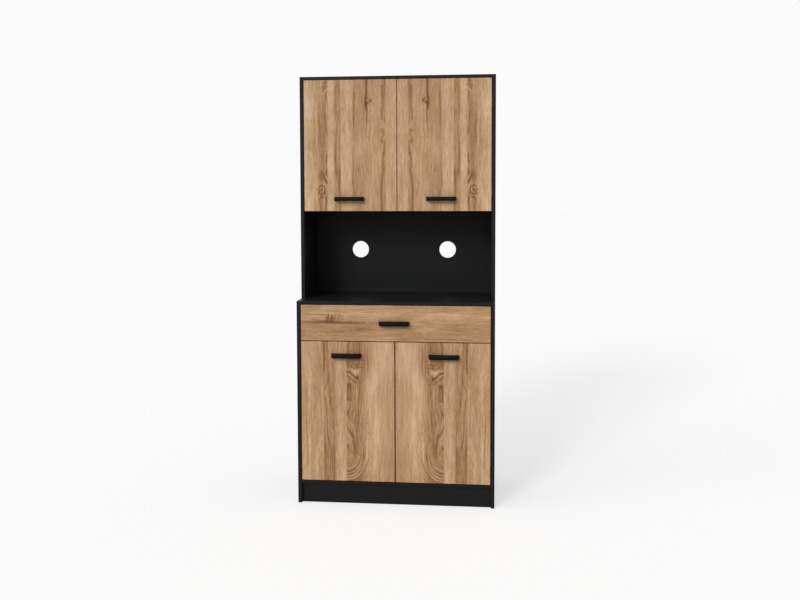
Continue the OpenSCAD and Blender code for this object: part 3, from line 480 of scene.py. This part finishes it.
LOWER_STAVES = (
    (0, 0.42, 0.54, 0), (22, 0.56, 0.64, 8), (60, 0.7, 0.62, 10), (104, 0.54, 0.46, 8), (130, 0.36, 0.34, 5),
    (197, 0.54, 0.62, 1), (242, 0.42, 0.36, 5), (291, 0.5, 0.58, 3), (335, 0.6, 0.5, 8)
)
LOWER_LINES = (
    (-0.24, 4, 276, 668, 274, 600, 272, 520, 276, 495, 285, 472), (-0.42, 6, 290, 670, 289, 600, 291, 545),
    (-0.52, 6.5, 196, 546, 184, 542, 172, 532, 160, 522, 152, 520),
    (-0.34, 5, 196, 530, 184, 520, 170, 508, 160, 498), (0.26, 5, 196, 552, 180, 556, 166, 544, 156, 534),
    (-0.34, 4.5, 194, 588, 184, 574, 176, 566), (-0.26, 6, 196, 578, 190, 560),
    (-0.34, 4.5, 132, 574, 142, 580, 156, 574, 172, 578),
    (-0.28, 4.5, 132, 563, 146, 566, 164, 560, 176, 566), (-0.24, 7, 134, 550, 140, 535, 152, 526),
    (-0.22, 5, 142, 500, 145, 440, 150, 400, 146, 350, 156, 300),
    (-0.16, 5, 160, 490, 164, 430, 160, 380, 166, 330), (-0.16, 5, 134, 500, 136, 420, 140, 380),
    (-0.22, 6, 195, 326, 190, 310, 180, 292, 168, 268, 163, 235, 166, 200), (-0.18, 6, 172, 300, 166, 270),
    (0.2, 4, 271, 240, 270, 180, 273, 120), (-0.14, 4, 248, 245, 247, 170, 250, 100),
    (-0.26, 6, 262, 440, 258, 380, 256, 310), (-0.16, 5, 246, 400, 248, 300),
    (-0.22, 5, 284, 440, 280, 380, 278, 330, 276, 280, 268, 240), (0.14, 4, 272, 430, 270, 340),
    (0.12, 4, 352, 420, 356, 300, 350, 200, 354, 110), (-0.16, 5, 360, 470, 364, 340, 358, 240, 362, 160),
    (-0.12, 4, 342, 330, 340, 250), (-0.1, 4, 318, 335, 320, 235), (-0.14, 4, 208, 400, 204, 330, 210, 290)
)
LOWER_BANDS = (
    (-0.1, 104, 133, 520, 680, 10, 30), (-0.34, 176, 195, 426, 498, 2, 4), (0.14, 181, 190, 436, 482, 2, 6),
    (-0.17, 243, 291, 90, 245, 4, 14), (-0.14, 283, 291, 130, 300, 3, 40), (-0.06, 300, 335, 420, 680, 8, 60)
)
LOWER_PATCHES = (
    (-0.12, 30, 150, 70, 120), (0.1, 30, 620, 60, 110), (0.12, 95, 510, 28, 70), (0.12, 78, 310, 16, 80),
    (0.12, 80, 170, 20, 60), (0.08, 118, 400, 40, 130), (-0.22, 148, 512, 26, 22), (0.26, 156, 546, 18, 12),
    (0.22, 184, 536, 8, 5), (-0.18, 190, 372, 10, 30), (-0.18, 192, 242, 9, 16)
)
LOWER_STROKES = (
    (-0.18, 98, 530, 668, 4, 7, 30), (-0.18, 110, 530, 668, 4, 7, 30), (-0.18, 122, 530, 668, 4, 6, 30),
    (-0.32, 143, 612, 672, 5, 3, 8), (-0.22, 166, 618, 672, 5, 3, 8), (-0.3, 189, 612, 672, 6, 3, 8),
    (-0.2, 232, 620, 672, 5, 3, 12)
)


def lower_oak(props):
    """Oak of the lower doors, mirrored at the split between them."""
    graph = new_material("oak_lower_doors")
    x, y, z = graph.millimetres()
    decor = Decor(graph, abs(x), z, props.streaks)
    radius, mask = decor.half_rings(197, 215, above=3.4, below=1.35, reach=118, top=350)
    decor.staves(LOWER_STAVES, DOOR_SPLIT_TO_SIDE)
    decor.grain(graph.span(decor.u, 0, 104, 12) * 0.25 - mask * 0.35)
    decor.rings(radius, mask, (42, 59, 68.5, 78.5, 88), 3.6, -0.24, 215)
    decor.rings(radius, mask, (30, 48), 3.6, -0.16, 320)
    decor.rings(radius, mask, (50, 64, 73.5, 83.5), 3.4, 0.10, 190)
    decor.draw(LOWER_LINES, LOWER_BANDS, LOWER_PATCHES, LOWER_STROKES)
    return oak_finish(decor, props, "lower_right_door", (abs(x), y, z), props.seam_shade_depth)


# Places on the drawer front are counted upwards from its lower edge and to the right from its middle
DRAWER_LOW, DRAWER_HEIGHT = 668, 150
DRAWER_STAVES = ((0, 0.46, 0.4, 0), (44, 0.42, 0.46, 6), (78, 0.5, 0.54, 3), (112, 0.5, 0.46, 8))
DRAWER_LINES = (
    (-0.16, 10, 78, -400, 77, -300, 75, -200, 76, -110, 73, -50), (-0.18, 8, 76, -330, 77, -250, 75, -150),
    (-0.26, 3.5, 76, -376, 78, -300, 75, -230, 76, -120), (-0.2, 4, 15, 40, 18, 90, 14, 140),
    (-0.2, 4, 12, 117, 14, 247), (-0.12, 4, 12, -170, 18, -100, 12, -40)
)
DRAWER_DASHES = (
    (-0.26, -288, 78, 88, 3.5), (-0.42, -279, 76, 101, 3.6), (-0.52, -272, 78, 111, 4.2),
    (-0.38, -264, 76, 97, 3.4), (-0.54, -257, 76, 106, 4.6), (-0.4, -250, 78, 99, 3.2),
    (-0.3, -243, 76, 118, 2.8), (-0.34, -232, 78, 112, 3.2), (-0.32, -223, 77, 116, 3.0),
    (-0.2, -214, 78, 108, 2.8), (-0.18, -196, 76, 88, 2.6), (-0.16, -182, 76, 86, 2.6)
)
DRAWER_BANDS = ((-0.08, 20, 100, -420, -90, 20, 90), (0.08, 100, 122, -330, 60, 8, 60))
DRAWER_PATCHES = (
    (-0.12, 92, -258, 18, 34), (-0.08, 60, -150, 24, 90), (0.08, 104, 190, 22, 110), (0.1, 52, 130, 14, 60)
)


def drawer_oak(props):
    """Oak of the drawer front, with its grain lying."""
    graph = new_material("oak_drawer_front")
    x, y, z = graph.millimetres()
    decor = Decor(graph, z - DRAWER_LOW, x, props.streaks)
    decor.staves(DRAWER_STAVES, DRAWER_HEIGHT)
    decor.grain()
    decor.draw(DRAWER_LINES, DRAWER_BANDS, DRAWER_PATCHES, dashes=DRAWER_DASHES)
    return oak_finish(decor, props, "drawer_front", (x, y, z), props.seam_shade_depth)


def black_board(node, props, raw):
    """Black faced chipboard of one board; raw names the sides without an edge strip."""
    graph = new_material("black_" + node)
    x, y, z = place = graph.millimetres()
    low, high = box_mm(node)
    bare = inside(node, place)
    if "rear" in raw:
        bare = bare + (y > high.y - BARE_SIDE)
    if "foot" in raw:
        bare = bare + (z < low.z + BARE_SIDE)
    cloud = graph.noise(x / 30, y / 30, z / 30)
    texture = graph.noise(x / 0.9, y / 0.9, z / 0.9, 1.0)
    black = graph.mix(cloud, props.black, shade(props.black, 1.18))
    colour = graph.mix(graph.maths("MINIMUM", bare, 1.0), black, chipboard(graph, props, place))
    roughness = (texture - 0.5) * 0.12 + cloud * 0.06 + (props.roughness - 0.03)
    return graph.finish(colour, roughness, graph.bump(texture, props.relief), props.gloss)


def back_sheet(node, props):
    """Hardboard sheet, lacquered black on the side that shows from the front, or on top where it lies."""
    graph = new_material("sheet_" + node)
    x, y, z = graph.millimetres()
    low, high = box_mm(node)
    fibre = graph.noise(x / 2.2, y / 2.2, z / 2.2, 3.0)
    cloud = graph.noise(x / 90, y / 90, z / 90)
    raw = graph.mix(fibre, props.hardboard, shade(props.hardboard, 1.35))
    raw = graph.mix(graph.ease(cloud, 0.3, 0.7) * 0.3, raw, shade(props.hardboard, 0.75))
    black = graph.mix(cloud, props.sheet, shade(props.sheet, 1.2))
    lying = high.z - low.z < high.y - low.y
    bare = z < high.z - BARE_SIDE if lying else y > low.y + BARE_SIDE
    roughness = bare * 0.35 + (props.roughness - 0.02) + (fibre - 0.5) * 0.1
    colour = graph.mix(bare, black, raw)
    return graph.finish(colour, roughness, graph.bump(fibre, props.relief), props.gloss)


def zinc_steel(props):
    """Zinc plated steel with faint brushing and cloudy spangles."""
    graph = new_material("zinc_plated_steel")
    x, y, z = graph.millimetres()
    cloud = graph.noise(x / 7, y / 7, z / 7, 3.0)
    brush = graph.noise(x / 0.4, y / 6, z / 0.4, 1.0)
    colour = graph.mix(cloud, shade(props.zinc, 0.82), shade(props.zinc, 1.12))
    roughness = cloud * 0.16 + brush * 0.08 + 0.2
    return graph.finish(colour, roughness, graph.bump(brush, 0.02 * MM), metallic=1.0)


def beech(props):
    """Beech dowel wood with short flecks along its length."""
    graph = new_material("beech_dowel")
    x, y, z = graph.millimetres()
    flecks = graph.ease(graph.noise(x / 4, y / 0.7, z / 0.7, 1.0), 0.5, 0.7)
    colour = graph.mix(flecks, props.beech, shade(props.beech, 0.68))
    return graph.finish(colour, flecks * 0.1 + 0.6, graph.bump(flecks, 0.04 * MM), 0.3)


def nylon(props):
    """White nylon with a slightly mottled skin."""
    graph = new_material("nylon_roller")
    x, y, z = graph.millimetres()
    skin = graph.noise(x / 2, y / 2, z / 2)
    colour = graph.mix(skin, shade(props.nylon, 0.93), props.nylon)
    return graph.finish(colour, skin * 0.12 + 0.32, graph.bump(skin, 0.03 * MM), 0.45)


def enamel(props):
    """Cream powder enamel of the runners, with a fine orange peel."""
    graph = new_material("runner_enamel")
    x, y, z = graph.millimetres()
    peel = graph.noise(x / 1.3, y / 1.3, z / 1.3, 1.0)
    wear = graph.ease(graph.noise(x / 3, y / 40, z / 1.5), 0.62, 0.75)
    colour = graph.mix(wear * 0.35, props.enamel, shade(props.enamel, 0.6))
    return graph.finish(colour, peel * 0.12 + 0.3, graph.bump(peel, 0.06 * MM), 0.45)


def matt_black(props):
    """Matt black coat of the handles, with a fine sanded grain."""
    graph = new_material("matt_black_handle")
    x, y, z = graph.millimetres()
    grain = graph.noise(x / 0.35, y / 0.35, z / 0.35, 1.0)
    cloud = graph.noise(x / 14, y / 14, z / 14)
    colour = graph.mix(cloud, props.coat, shade(props.coat, 1.2))
    roughness = grain * 0.12 + cloud * 0.05 + (props.roughness - 0.08)
    return graph.finish(colour, roughness, graph.bump(grain, 0.04 * MM), props.gloss)


def rubber(props):
    """Dark soft rubber with a dusty bloom."""
    graph = new_material("bumper_rubber")
    x, y, z = graph.millimetres()
    bloom = graph.noise(x / 1.5, y / 1.5, z / 1.5, 3.0)
    colour = graph.mix(bloom, props.rubber, shade(props.rubber, 1.7))
    return graph.finish(colour, bloom * 0.2 + 0.6, graph.bump(bloom, 0.03 * MM), 0.3)


# Modelling
def deselect_all():
    """Leaves edit mode and selects nothing."""
    if bpy.context.object and bpy.context.object.mode != "OBJECT":
        bpy.ops.object.mode_set(mode="OBJECT")
    bpy.ops.object.select_all(action="DESELECT")


def select_only(obj):
    deselect_all()
    obj.select_set(True)
    bpy.context.view_layer.objects.active = obj


def settle(obj, name):
    """Puts an object's place, turn and size into its mesh, and names it."""
    obj.name = obj.data.name = name
    select_only(obj)
    bpy.ops.object.transform_apply(location=True, rotation=True, scale=True)
    return obj


def block(name, low, high):
    """Cube stretched between two corners."""
    deselect_all()
    low, high = Vector(low), Vector(high)
    bpy.ops.mesh.primitive_cube_add(size=1, location=(low + high) / 2)
    obj = bpy.context.object
    obj.scale = high - low
    return settle(obj, name)


def post(name, x, z, radius, front, back, vertices):
    """Cylinder along Y between two depths."""
    deselect_all()
    bpy.ops.mesh.primitive_cylinder_add(
        radius=radius, depth=back - front, vertices=vertices, location=(x, (front + back) / 2, z),
        rotation=(math.pi / 2, 0, 0))
    return settle(bpy.context.object, name)


def edit(obj, kind, test):
    """Enters edit mode with only the faces or edges selected that pass the test."""
    select_only(obj)
    bpy.ops.object.mode_set(mode="EDIT")
    bpy.ops.mesh.select_mode(type=kind)
    bpy.ops.mesh.select_all(action="DESELECT")
    mesh = bmesh.from_edit_mesh(obj.data)
    for part in mesh.faces if kind == "FACE" else mesh.edges:
        part.select_set(test(part))
    mesh.select_flush_mode()
    bmesh.update_edit_mesh(obj.data)


def faces_front(face):
    return face.normal.y < -0.9


def middle(edge):
    return (edge.verts[0].co + edge.verts[1].co) / 2


def runs_along(edge, axis):
    return abs((edge.verts[1].co - edge.verts[0].co).normalized()[axis]) > 0.9


def bevel(width, segments):
    bpy.ops.mesh.bevel(offset=width, segments=segments, affect="EDGES")


def combine(obj, tool, operation):
    """Cuts or welds an object with another one, which is used up."""
    select_only(obj)
    change = obj.modifiers.new("shape", "BOOLEAN")
    change.operation = operation
    change.solver = "EXACT"
    change.object = tool
    bpy.ops.object.modifier_apply(modifier=change.name)
    bpy.data.objects.remove(tool)


def smooth(obj, degrees):
    select_only(obj)
    bpy.ops.object.shade_smooth_by_angle(angle=math.radians(degrees))


def copied(obj, name, move):
    """Copy with its own mesh, moved in its mesh."""
    select_only(obj)
    bpy.ops.object.duplicate(linked=False)
    twin = bpy.context.object
    bpy.ops.transform.translate(value=move)
    return settle(twin, name)


def loose_boxes(node):
    """Lowest and highest corner of each separate solid of a CAD node, from left to right."""
    mesh = bmesh.new()
    mesh.from_mesh(NODES[node].data)
    bmesh.ops.remove_doubles(mesh, verts=mesh.verts, dist=1e-6)
    left, boxes = set(mesh.verts), []
    while left:
        group, queue = [], [left.pop()]
        while queue:
            vertex = queue.pop()
            group.append(vertex.co.copy())
            for edge in vertex.link_edges:
                other = edge.other_vert(vertex)
                if other in left:
                    left.remove(other)
                    queue.append(other)
        boxes.append((Vector(map(min, *group)), Vector(map(max, *group))))
    mesh.free()
    return sorted(boxes, key=lambda box: tuple(box[0]))


# One handle is modelled at the drawer's place and copied to the doors
HOLLOW_ROUND, HOLLOW_TAPER = 1.2 * MM, 2 * MM
RIB_HALF, RIB_SETBACK, RIB_ROUND = 2 * MM, 3 * MM, 1.5 * MM
SCREW_HOLE_RADIUS, SCREW_HOLE_DEPTH = 2.05 * MM, 15.1 * MM


def slope_ends(obj, share):
    """Shortens the front face, which makes the ends slope."""
    edit(obj, "FACE", faces_front)
    bpy.ops.transform.resize(value=(share, 1, 1), center_override=HANDLE_CENTRE)


def is_front_corner(edge):
    return runs_along(edge, 2) and middle(edge).y < HANDLE_CENTRE.y


def is_long_rim(edge):
    """True for the edges round a handle's top and underside, apart from the rear ones."""
    rise = abs(middle(edge).z - HANDLE_CENTRE.z)
    return abs(rise - HANDLE_SIZE.z / 2) < TINY and middle(edge).y < HANDLE_HIGH.y - 10 * TINY


def handle_hollow(props):
    """The room inside a handle, which opens to the rear and below."""
    wall = props.wall
    low, high = HANDLE_LOW + Vector((wall, wall, -wall)), HANDLE_HIGH + Vector((-wall, wall, -wall))
    hollow = block("hollow", low, high)
    slope_ends(hollow, (props.face - 2 * wall - HOLLOW_TAPER) / (HANDLE_SIZE.x - 2 * wall))
    edit(hollow, "EDGE", lambda e: middle(e).z > high.z - TINY or is_front_corner(e))
    bevel(HOLLOW_ROUND, 3)
    return hollow


def add_boss(handle, x, props):
    """Welds a boss with a screw hole into a handle, and a rib between it and the upper wall."""
    front, rear = HANDLE_LOW.y + props.wall / 2, HANDLE_HIGH.y
    top = HANDLE_HIGH.z - props.wall / 2
    rib = block("rib", (x - RIB_HALF, front, HANDLE_CENTRE.z), (x + RIB_HALF, rear - RIB_SETBACK, top))
    edit(rib, "EDGE", lambda e: middle(e).y > rear - RIB_SETBACK - MM and runs_along(e, 0))
    bevel(RIB_ROUND, 3)
    combine(handle, rib, "UNION")
    boss = post("boss", x, HANDLE_CENTRE.z, props.boss, front, rear, 40)
    edit(boss, "FACE", lambda f: f.normal.y > 0.9)
    bpy.ops.mesh.inset(thickness=props.boss - SCREW_HOLE_RADIUS)
    bpy.ops.mesh.extrude_region_move(TRANSFORM_OT_translate={"value": (0, -SCREW_HOLE_DEPTH, 0)})
    combine(handle, boss, "UNION")


def make_handle(props):
    """Bow handle of the drawer, with sloping ends, a rounded face, a hollow and two screw bosses."""
    handle = block("drawer_handle_shell", HANDLE_LOW, HANDLE_HIGH)
    slope_ends(handle, props.face / HANDLE_SIZE.x)
    edit(handle, "EDGE", is_front_corner)
    bevel(props.corner, 6)
    edit(handle, "EDGE", is_long_rim)
    bevel(props.edge, 4)
    combine(handle, handle_hollow(props), "DIFFERENCE")
    for side in (-1, 1):
        add_boss(handle, HANDLE_CENTRE.x + side * props.pitch / 2, props)
    smooth(handle, 32)
    return handle


# Shares of a bumper's radius and height that its flat tip and its rounded rim take up
TIP_INSET, TIP_ROUND, RIM_START, RIM_ROUND, RIM_HEIGHT = 0.35, 0.25, 0.9, 0.3, 0.7


def make_bumper(name, low, high):
    """Domed bumper with a flat foot and a rounded rim."""
    centre, radius, height = (low + high) / 2, (high.x - low.x) / 2, high.y - low.y
    dome = post(name, centre.x, centre.z, radius, low.y, high.y, 32)
    edit(dome, "FACE", faces_front)
    bpy.ops.mesh.inset(thickness=radius * TIP_INSET)
    bevel(height * TIP_ROUND, 2)
    tip = Vector((centre.x, low.y, centre.z))
    rim = radius * RIM_START
    edit(dome, "EDGE", lambda e: abs(middle(e).y - low.y) < TINY and (middle(e) - tip).length > rim)
    bevel(min(radius * RIM_ROUND, height * RIM_HEIGHT), 4)
    smooth(dome, 60)
    return dome


# Settings
def tint_prop(name, description, default, most=1.5):
    return bpy.props.FloatVectorProperty(
        name=name, description=description, subtype="COLOR", size=3, min=0, max=most, default=default)


def colour_prop(name, description, *screen_values):
    return tint_prop(name, description, srgb(*screen_values), 1)


def share_prop(name, description, default):
    return bpy.props.FloatProperty(
        name=name, description=description, subtype="FACTOR", min=0, max=1, default=default)


def length_prop(name, description, default):
    return bpy.props.FloatProperty(
        name=name, description=description, subtype="DISTANCE", unit="LENGTH", precision=5, min=0,
        default=default)


def strength_prop(name, description, default):
    return bpy.props.FloatProperty(name=name, description=description, min=0, default=default)


def angle_prop(name, description, degrees):
    return bpy.props.FloatProperty(
        name=name, description=description, subtype="ANGLE", unit="ROTATION", default=math.radians(degrees))


class OakSettings(bpy.types.PropertyGroup):
    """Look of the oak fronts"""
    knot: colour_prop("Knot", "Colour of the knots' hearts", 104, 64, 36)
    deep: colour_prop("Deep Oak", "Colour of the darkest lines", 132, 91, 56)
    brown: colour_prop("Brown Oak", "Colour of the dark streaks", 155, 116, 78)
    middle: colour_prop("Middle Oak", "Colour of most of the wood", 182, 146, 107)
    light: colour_prop("Light Oak", "Colour of the light staves", 202, 168, 131)
    pale: colour_prop("Pale Oak", "Colour of the palest streaks", 215, 186, 153)
    yellow: tint_prop("Yellow Cast", "Tint of the yellower grain", (0.995, 1.0, 0.95))
    pink: tint_prop("Pink Cast", "Tint of the pinker grain", (1.005, 1.0, 1.10))
    streaks: strength_prop("Streaks", "Strength of the grain", 1.0)
    roughness: share_prop("Roughness", "Roughness of the oak's lacquer", 0.56)
    gloss: share_prop("Gloss", "Specular level of the oak's lacquer", 0.25)
    pore_depth: length_prop("Pore Depth", "Depth of the embossed pores", 0.06 * MM)
    # Rim and its depth set the painted shade along a front's edges, which stands in for the dark seams
    # between the fronts
    rim: length_prop("Rim", "Width of the darker line at a front's edges", 1.2 * MM)
    seam_shade_depth: share_prop("Rim Depth", "How much darker that line is", 0.45)


class BoardSettings(bpy.types.PropertyGroup):
    """Look of the black boards and the back sheets"""
    black: colour_prop("Black", "Colour of the boards' faces", 21, 21, 22)
    sheet: colour_prop("Back Sheet Black", "Colour of the back sheets' front", 16, 17, 18)
    hardboard: colour_prop("Hardboard", "Colour of the back sheets' rear", 128, 98, 68)
    chip_pale: colour_prop("Pale Chips", "Lighter colour of raw chipboard", 190, 160, 118)
    chip_dark: colour_prop("Dark Chips", "Darker colour of raw chipboard", 138, 106, 70)
    roughness: share_prop("Roughness", "Roughness of the black faces", 0.45)
    gloss: share_prop("Gloss", "Specular level of the black faces", 0.15)
    relief: length_prop("Relief", "Depth of the faces' fine texture", 0.04 * MM)


class HandleSettings(bpy.types.PropertyGroup):
    """Shape and look of the handles"""
    face: length_prop("Face Length", "Length of the front face", HANDLE_SIZE.x - 10 * MM)
    wall: length_prop("Wall", "Thickness of the shell", 3 * MM)
    edge: length_prop("Edge Radius", "Rounding of the long edges", 2 * MM)
    corner: length_prop("Corner Radius", "Rounding of the upright corners", 4 * MM)
    pitch: length_prop("Screw Distance", "Distance between the two screws", 96 * MM)
    boss: length_prop("Boss Radius", "Radius of the screw bosses", 4.5 * MM)
    coat: colour_prop("Coat", "Colour of the handles", 7, 7, 8)
    roughness: share_prop("Roughness", "Roughness of the coat", 0.5)
    gloss: share_prop("Gloss", "Specular level of the coat", 0.11)


class FittingSettings(bpy.types.PropertyGroup):
    """Look of the metal, plastic and wooden fittings"""
    zinc: colour_prop("Zinc", "Colour of the plated steel", 196, 198, 202)
    beech: colour_prop("Beech", "Colour of the dowels", 205, 170, 125)
    nylon: colour_prop("Nylon", "Colour of the rollers", 226, 226, 220)
    enamel: colour_prop("Enamel", "Colour of the drawer runners", 226, 223, 214)
    rubber: colour_prop("Rubber", "Colour of the bumpers", 52, 52, 54)


class StageSettings(bpy.types.PropertyGroup):
    """Light and floor round the cabinet"""
    sky: strength_prop("Sky", "Strength of the light from all sides", 0.42)
    white: strength_prop("Backdrop", "Brightness of the backdrop, 1 is white", 0.962)
    key: strength_prop("Key Light", "Strength of the key light", 1.61)
    key_side: angle_prop("Key Side", "Angle of the key light to the left of the fronts", 24)
    key_rise: angle_prop("Key Rise", "Height angle of the key light", 26)
    key_soft: angle_prop("Key Softness", "Width angle of the key light", 20)
    fill: strength_prop("Side Light", "Strength of the soft light from the left", 0.66)
    fill_side: angle_prop("Side Light Angle", "Angle of the side light to the left of the fronts", 62)
    fill_rise: angle_prop("Side Light Rise", "Height angle of the side light", 24)
    fill_soft: angle_prop("Side Light Softness", "Width angle of the side light", 45)
    floor: share_prop("Floor", "Brightness of the floor's own colour", 0.8)
    floor_lift: share_prop("Floor Lift", "Brightness added to the floor for the camera alone", 0.60)
    floor_share: share_prop("Shadow Share", "Share of the floor's own colour that the camera sees", 0.61)


# Stage
FLOOR_SIZE = 120
SUN_DISTANCE = 4
FAR_CLIP = 200


def make_backdrop(scene, props):
    """World that lights softly from all sides and shows the backdrop's white to camera, gloss and glass."""
    world = scene.world or bpy.data.worlds.new("backdrop")
    scene.world = world
    graph = Graph(world)
    seen = 0.0
    for ray in ("Is Camera Ray", "Is Glossy Ray", "Is Transmission Ray"):
        seen = graph.node("LightPath", None, None, ray) + seen
    light = graph.node("Background", None, {"Color": grey(1.0), "Strength": props.sky})
    shown = graph.node("Background", None, {"Color": grey(1.0), "Strength": props.white})
    values = {0: graph.maths("MINIMUM", seen, 1.0), 1: light, 2: shown}
    sky = graph.node("MixShader", None, values)
    graph.node("OutputWorld", None, {"Surface": sky})


def make_floor(props):
    """Pale floor that the camera sees brighter than it is, with the object's shadow."""
    deselect_all()
    bpy.ops.mesh.primitive_plane_add(size=FLOOR_SIZE, location=(0, 0, 0))
    floor = settle(bpy.context.object, "floor")
    graph = new_material("pale_floor")
    seen = graph.node("LightPath", None, None, "Is Camera Ray")
    own = graph.mix(seen, grey(props.floor), grey(props.floor * props.floor_share))
    matt = graph.node("BsdfDiffuse", None, {"Color": own})
    lift = {"Color": grey(1.0), "Strength": seen * props.floor_lift}
    both = graph.node("AddShader", None, {0: matt, 1: graph.node("Emission", None, lift)})
    graph.node("OutputMaterial", None, {"Surface": both})
    give(floor, graph.owner)


def add_sun(name, strength, side, rise, width):
    """Soft sun from an angle to the left of the fronts and an angle above the floor."""
    source = Vector((-math.sin(side) * math.cos(rise), -math.cos(side) * math.cos(rise), math.sin(rise)))
    turn = source.to_track_quat("Z", "Y").to_euler()
    bpy.ops.object.light_add(type="SUN", location=source * SUN_DISTANCE, rotation=turn)
    lamp = bpy.context.object
    lamp.name = lamp.data.name = name
    lamp.data.energy = strength
    lamp.data.angle = width


def add_camera(scene):
    """Camera at the photograph's place, turned, rolled and shifted as it was."""
    yaw, pitch, roll = CAMERA_YAW, CAMERA_PITCH, CAMERA_ROLL
    ahead = Vector((-math.sin(yaw) * math.cos(pitch), math.cos(yaw) * math.cos(pitch), math.sin(pitch)))
    level = Vector((math.cos(yaw), math.sin(yaw), 0))
    above = level.cross(ahead)
    right = level * math.cos(roll) + above * math.sin(roll)
    up = above * math.cos(roll) - level * math.sin(roll)
    turn = Matrix((right, up, -ahead)).transposed()
    bpy.ops.object.camera_add(location=CAMERA_PLACE, rotation=turn.to_euler())
    camera = bpy.context.object
    camera.name = camera.data.name = "camera"
    camera.data.sensor_width = SENSOR_WIDTH
    camera.data.lens = CAMERA_FOCUS * SENSOR_WIDTH / PICTURE[0]
    camera.data.shift_x = (PICTURE[0] / 2 - CAMERA_CENTRE[0]) / PICTURE[0]
    camera.data.shift_y = (CAMERA_CENTRE[1] - PICTURE[1] / 2) / PICTURE[0]
    camera.data.clip_end = FAR_CLIP
    scene.camera = camera


# Operators
class CABINET_OT_stage(bpy.types.Operator):
    """Sets the floor, the backdrop, the lights and the camera"""
    bl_idname = "cabinet.stage"
    bl_label = "Stage"

    def execute(self, context):
        scene, props = context.scene, context.scene.cabinet_stage
        scene.view_settings.view_transform = "Standard"
        make_backdrop(scene, props)
        make_floor(props)
        add_sun("key_light", props.key, props.key_side, props.key_rise, props.key_soft)
        add_sun("side_light", props.fill, props.fill_side, props.fill_rise, props.fill_soft)
        add_camera(scene)
        return {"FINISHED"}


class CABINET_OT_oak_fronts(bpy.types.Operator):
    """Gives the four doors and the drawer front their oak"""
    bl_idname = "cabinet.oak_fronts"
    bl_label = "Oak Fronts"

    def execute(self, context):
        props = context.scene.cabinet_oak
        oaks = {"upper": upper_oak(props), "lower": lower_oak(props)}
        for door in DOORS:
            give(NODES[door + "_door"], oaks[door.split("_")[0]])
        give(NODES["drawer_front"], drawer_oak(props))
        return {"FINISHED"}


class CABINET_OT_black_boards(bpy.types.Operator):
    """Gives the carcass and the drawer box their black boards"""
    bl_idname = "cabinet.black_boards"
    bl_label = "Black Boards"

    def execute(self, context):
        for raw, nodes in RAW_SIDES.items():
            for node in nodes:
                give(NODES[node], black_board(node, context.scene.cabinet_boards, raw))
        return {"FINISHED"}


class CABINET_OT_back_sheets(bpy.types.Operator):
    """Gives the back sheets and the drawer's bottom their hardboard"""
    bl_idname = "cabinet.back_sheets"
    bl_label = "Back Sheets"

    def execute(self, context):
        for node in ("base_back", "hutch_back", "drawer_bottom"):
            give(NODES[node], back_sheet(node, context.scene.cabinet_boards))
        return {"FINISHED"}


class CABINET_OT_handles(bpy.types.Operator):
    """Models one handle and copies it to each front"""
    bl_idname = "cabinet.handles"
    bl_label = "Handles"

    def execute(self, context):
        props = context.scene.cabinet_handles
        first = make_handle(props)
        give(first, matt_black(props))
        made = [(first, "drawer_handle", "drawer")]
        for door in DOORS:
            node = door + "_handle"
            move = sum(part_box(node), Vector()) / 2 - HANDLE_CENTRE
            made.append((copied(first, node + "_shell", move), node, door + "_door"))
        for handle, node, body in made:
            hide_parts(node)
            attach(handle, body)
        return {"FINISHED"}


class CABINET_OT_bumpers(bpy.types.Operator):
    """Models the soft bumpers behind the doors and the drawer"""
    bl_idname = "cabinet.bumpers"
    bl_label = "Bumpers"

    def execute(self, context):
        skin = rubber(context.scene.cabinet_fittings)
        for number, (low, high) in enumerate(loose_boxes("door_bumpers"), 1):
            dome = make_bumper(f"bumper_{number}", low, high)
            give(dome, skin)
            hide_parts("door_bumpers")
            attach(dome, "carcass")
        return {"FINISHED"}


class CABINET_OT_fittings(bpy.types.Operator):
    """Gives hinges, screws, cams, brackets, dowels and runners their finish"""
    bl_idname = "cabinet.fittings"
    bl_label = "Fittings"

    def execute(self, context):
        props = context.scene.cabinet_fittings
        for material, nodes in (
            (zinc_steel(props), STEEL_NODES),
            (beech(props), ("dowels", "drawer_dowels")),
            (enamel(props), ("cabinet_runners", "drawer_rails")),
            (nylon(props), ("cabinet_rollers", "drawer_rollers")),
        ):
            for node in nodes:
                give(NODES[node], material)
        return {"FINISHED"}


OPERATORS = (
    CABINET_OT_stage, CABINET_OT_oak_fronts, CABINET_OT_black_boards, CABINET_OT_back_sheets,
    CABINET_OT_handles, CABINET_OT_bumpers, CABINET_OT_fittings
)
SETTINGS = {
    "cabinet_oak": OakSettings, "cabinet_boards": BoardSettings, "cabinet_handles": HandleSettings,
    "cabinet_fittings": FittingSettings, "cabinet_stage": StageSettings
}


class CABINET_PT_panel(bpy.types.Panel):
    """Buttons of all the operators"""
    bl_idname = "CABINET_PT_panel"
    bl_label = "Kitchen Cabinet"
    bl_space_type = "VIEW_3D"
    bl_region_type = "UI"
    bl_category = "Cabinet"

    def draw(self, context):
        for operator in OPERATORS:
            self.layout.operator(operator.bl_idname)


def register():
    for name, group in SETTINGS.items():
        bpy.utils.register_class(group)
        setattr(bpy.types.Scene, name, bpy.props.PointerProperty(type=group))
    for item in (*OPERATORS, CABINET_PT_panel):
        bpy.utils.register_class(item)


def unregister():
    for item in reversed((*OPERATORS, CABINET_PT_panel)):
        bpy.utils.unregister_class(item)
    for name, group in reversed(SETTINGS.items()):
        delattr(bpy.types.Scene, name)
        bpy.utils.unregister_class(group)


def main():
    register()
    bpy.ops.cabinet.stage()
    bpy.ops.cabinet.oak_fronts()
    bpy.ops.cabinet.black_boards()
    bpy.ops.cabinet.back_sheets()
    bpy.ops.cabinet.handles()
    bpy.ops.cabinet.bumpers()
    bpy.ops.cabinet.fittings()


if __name__ == "__main__":
    main()
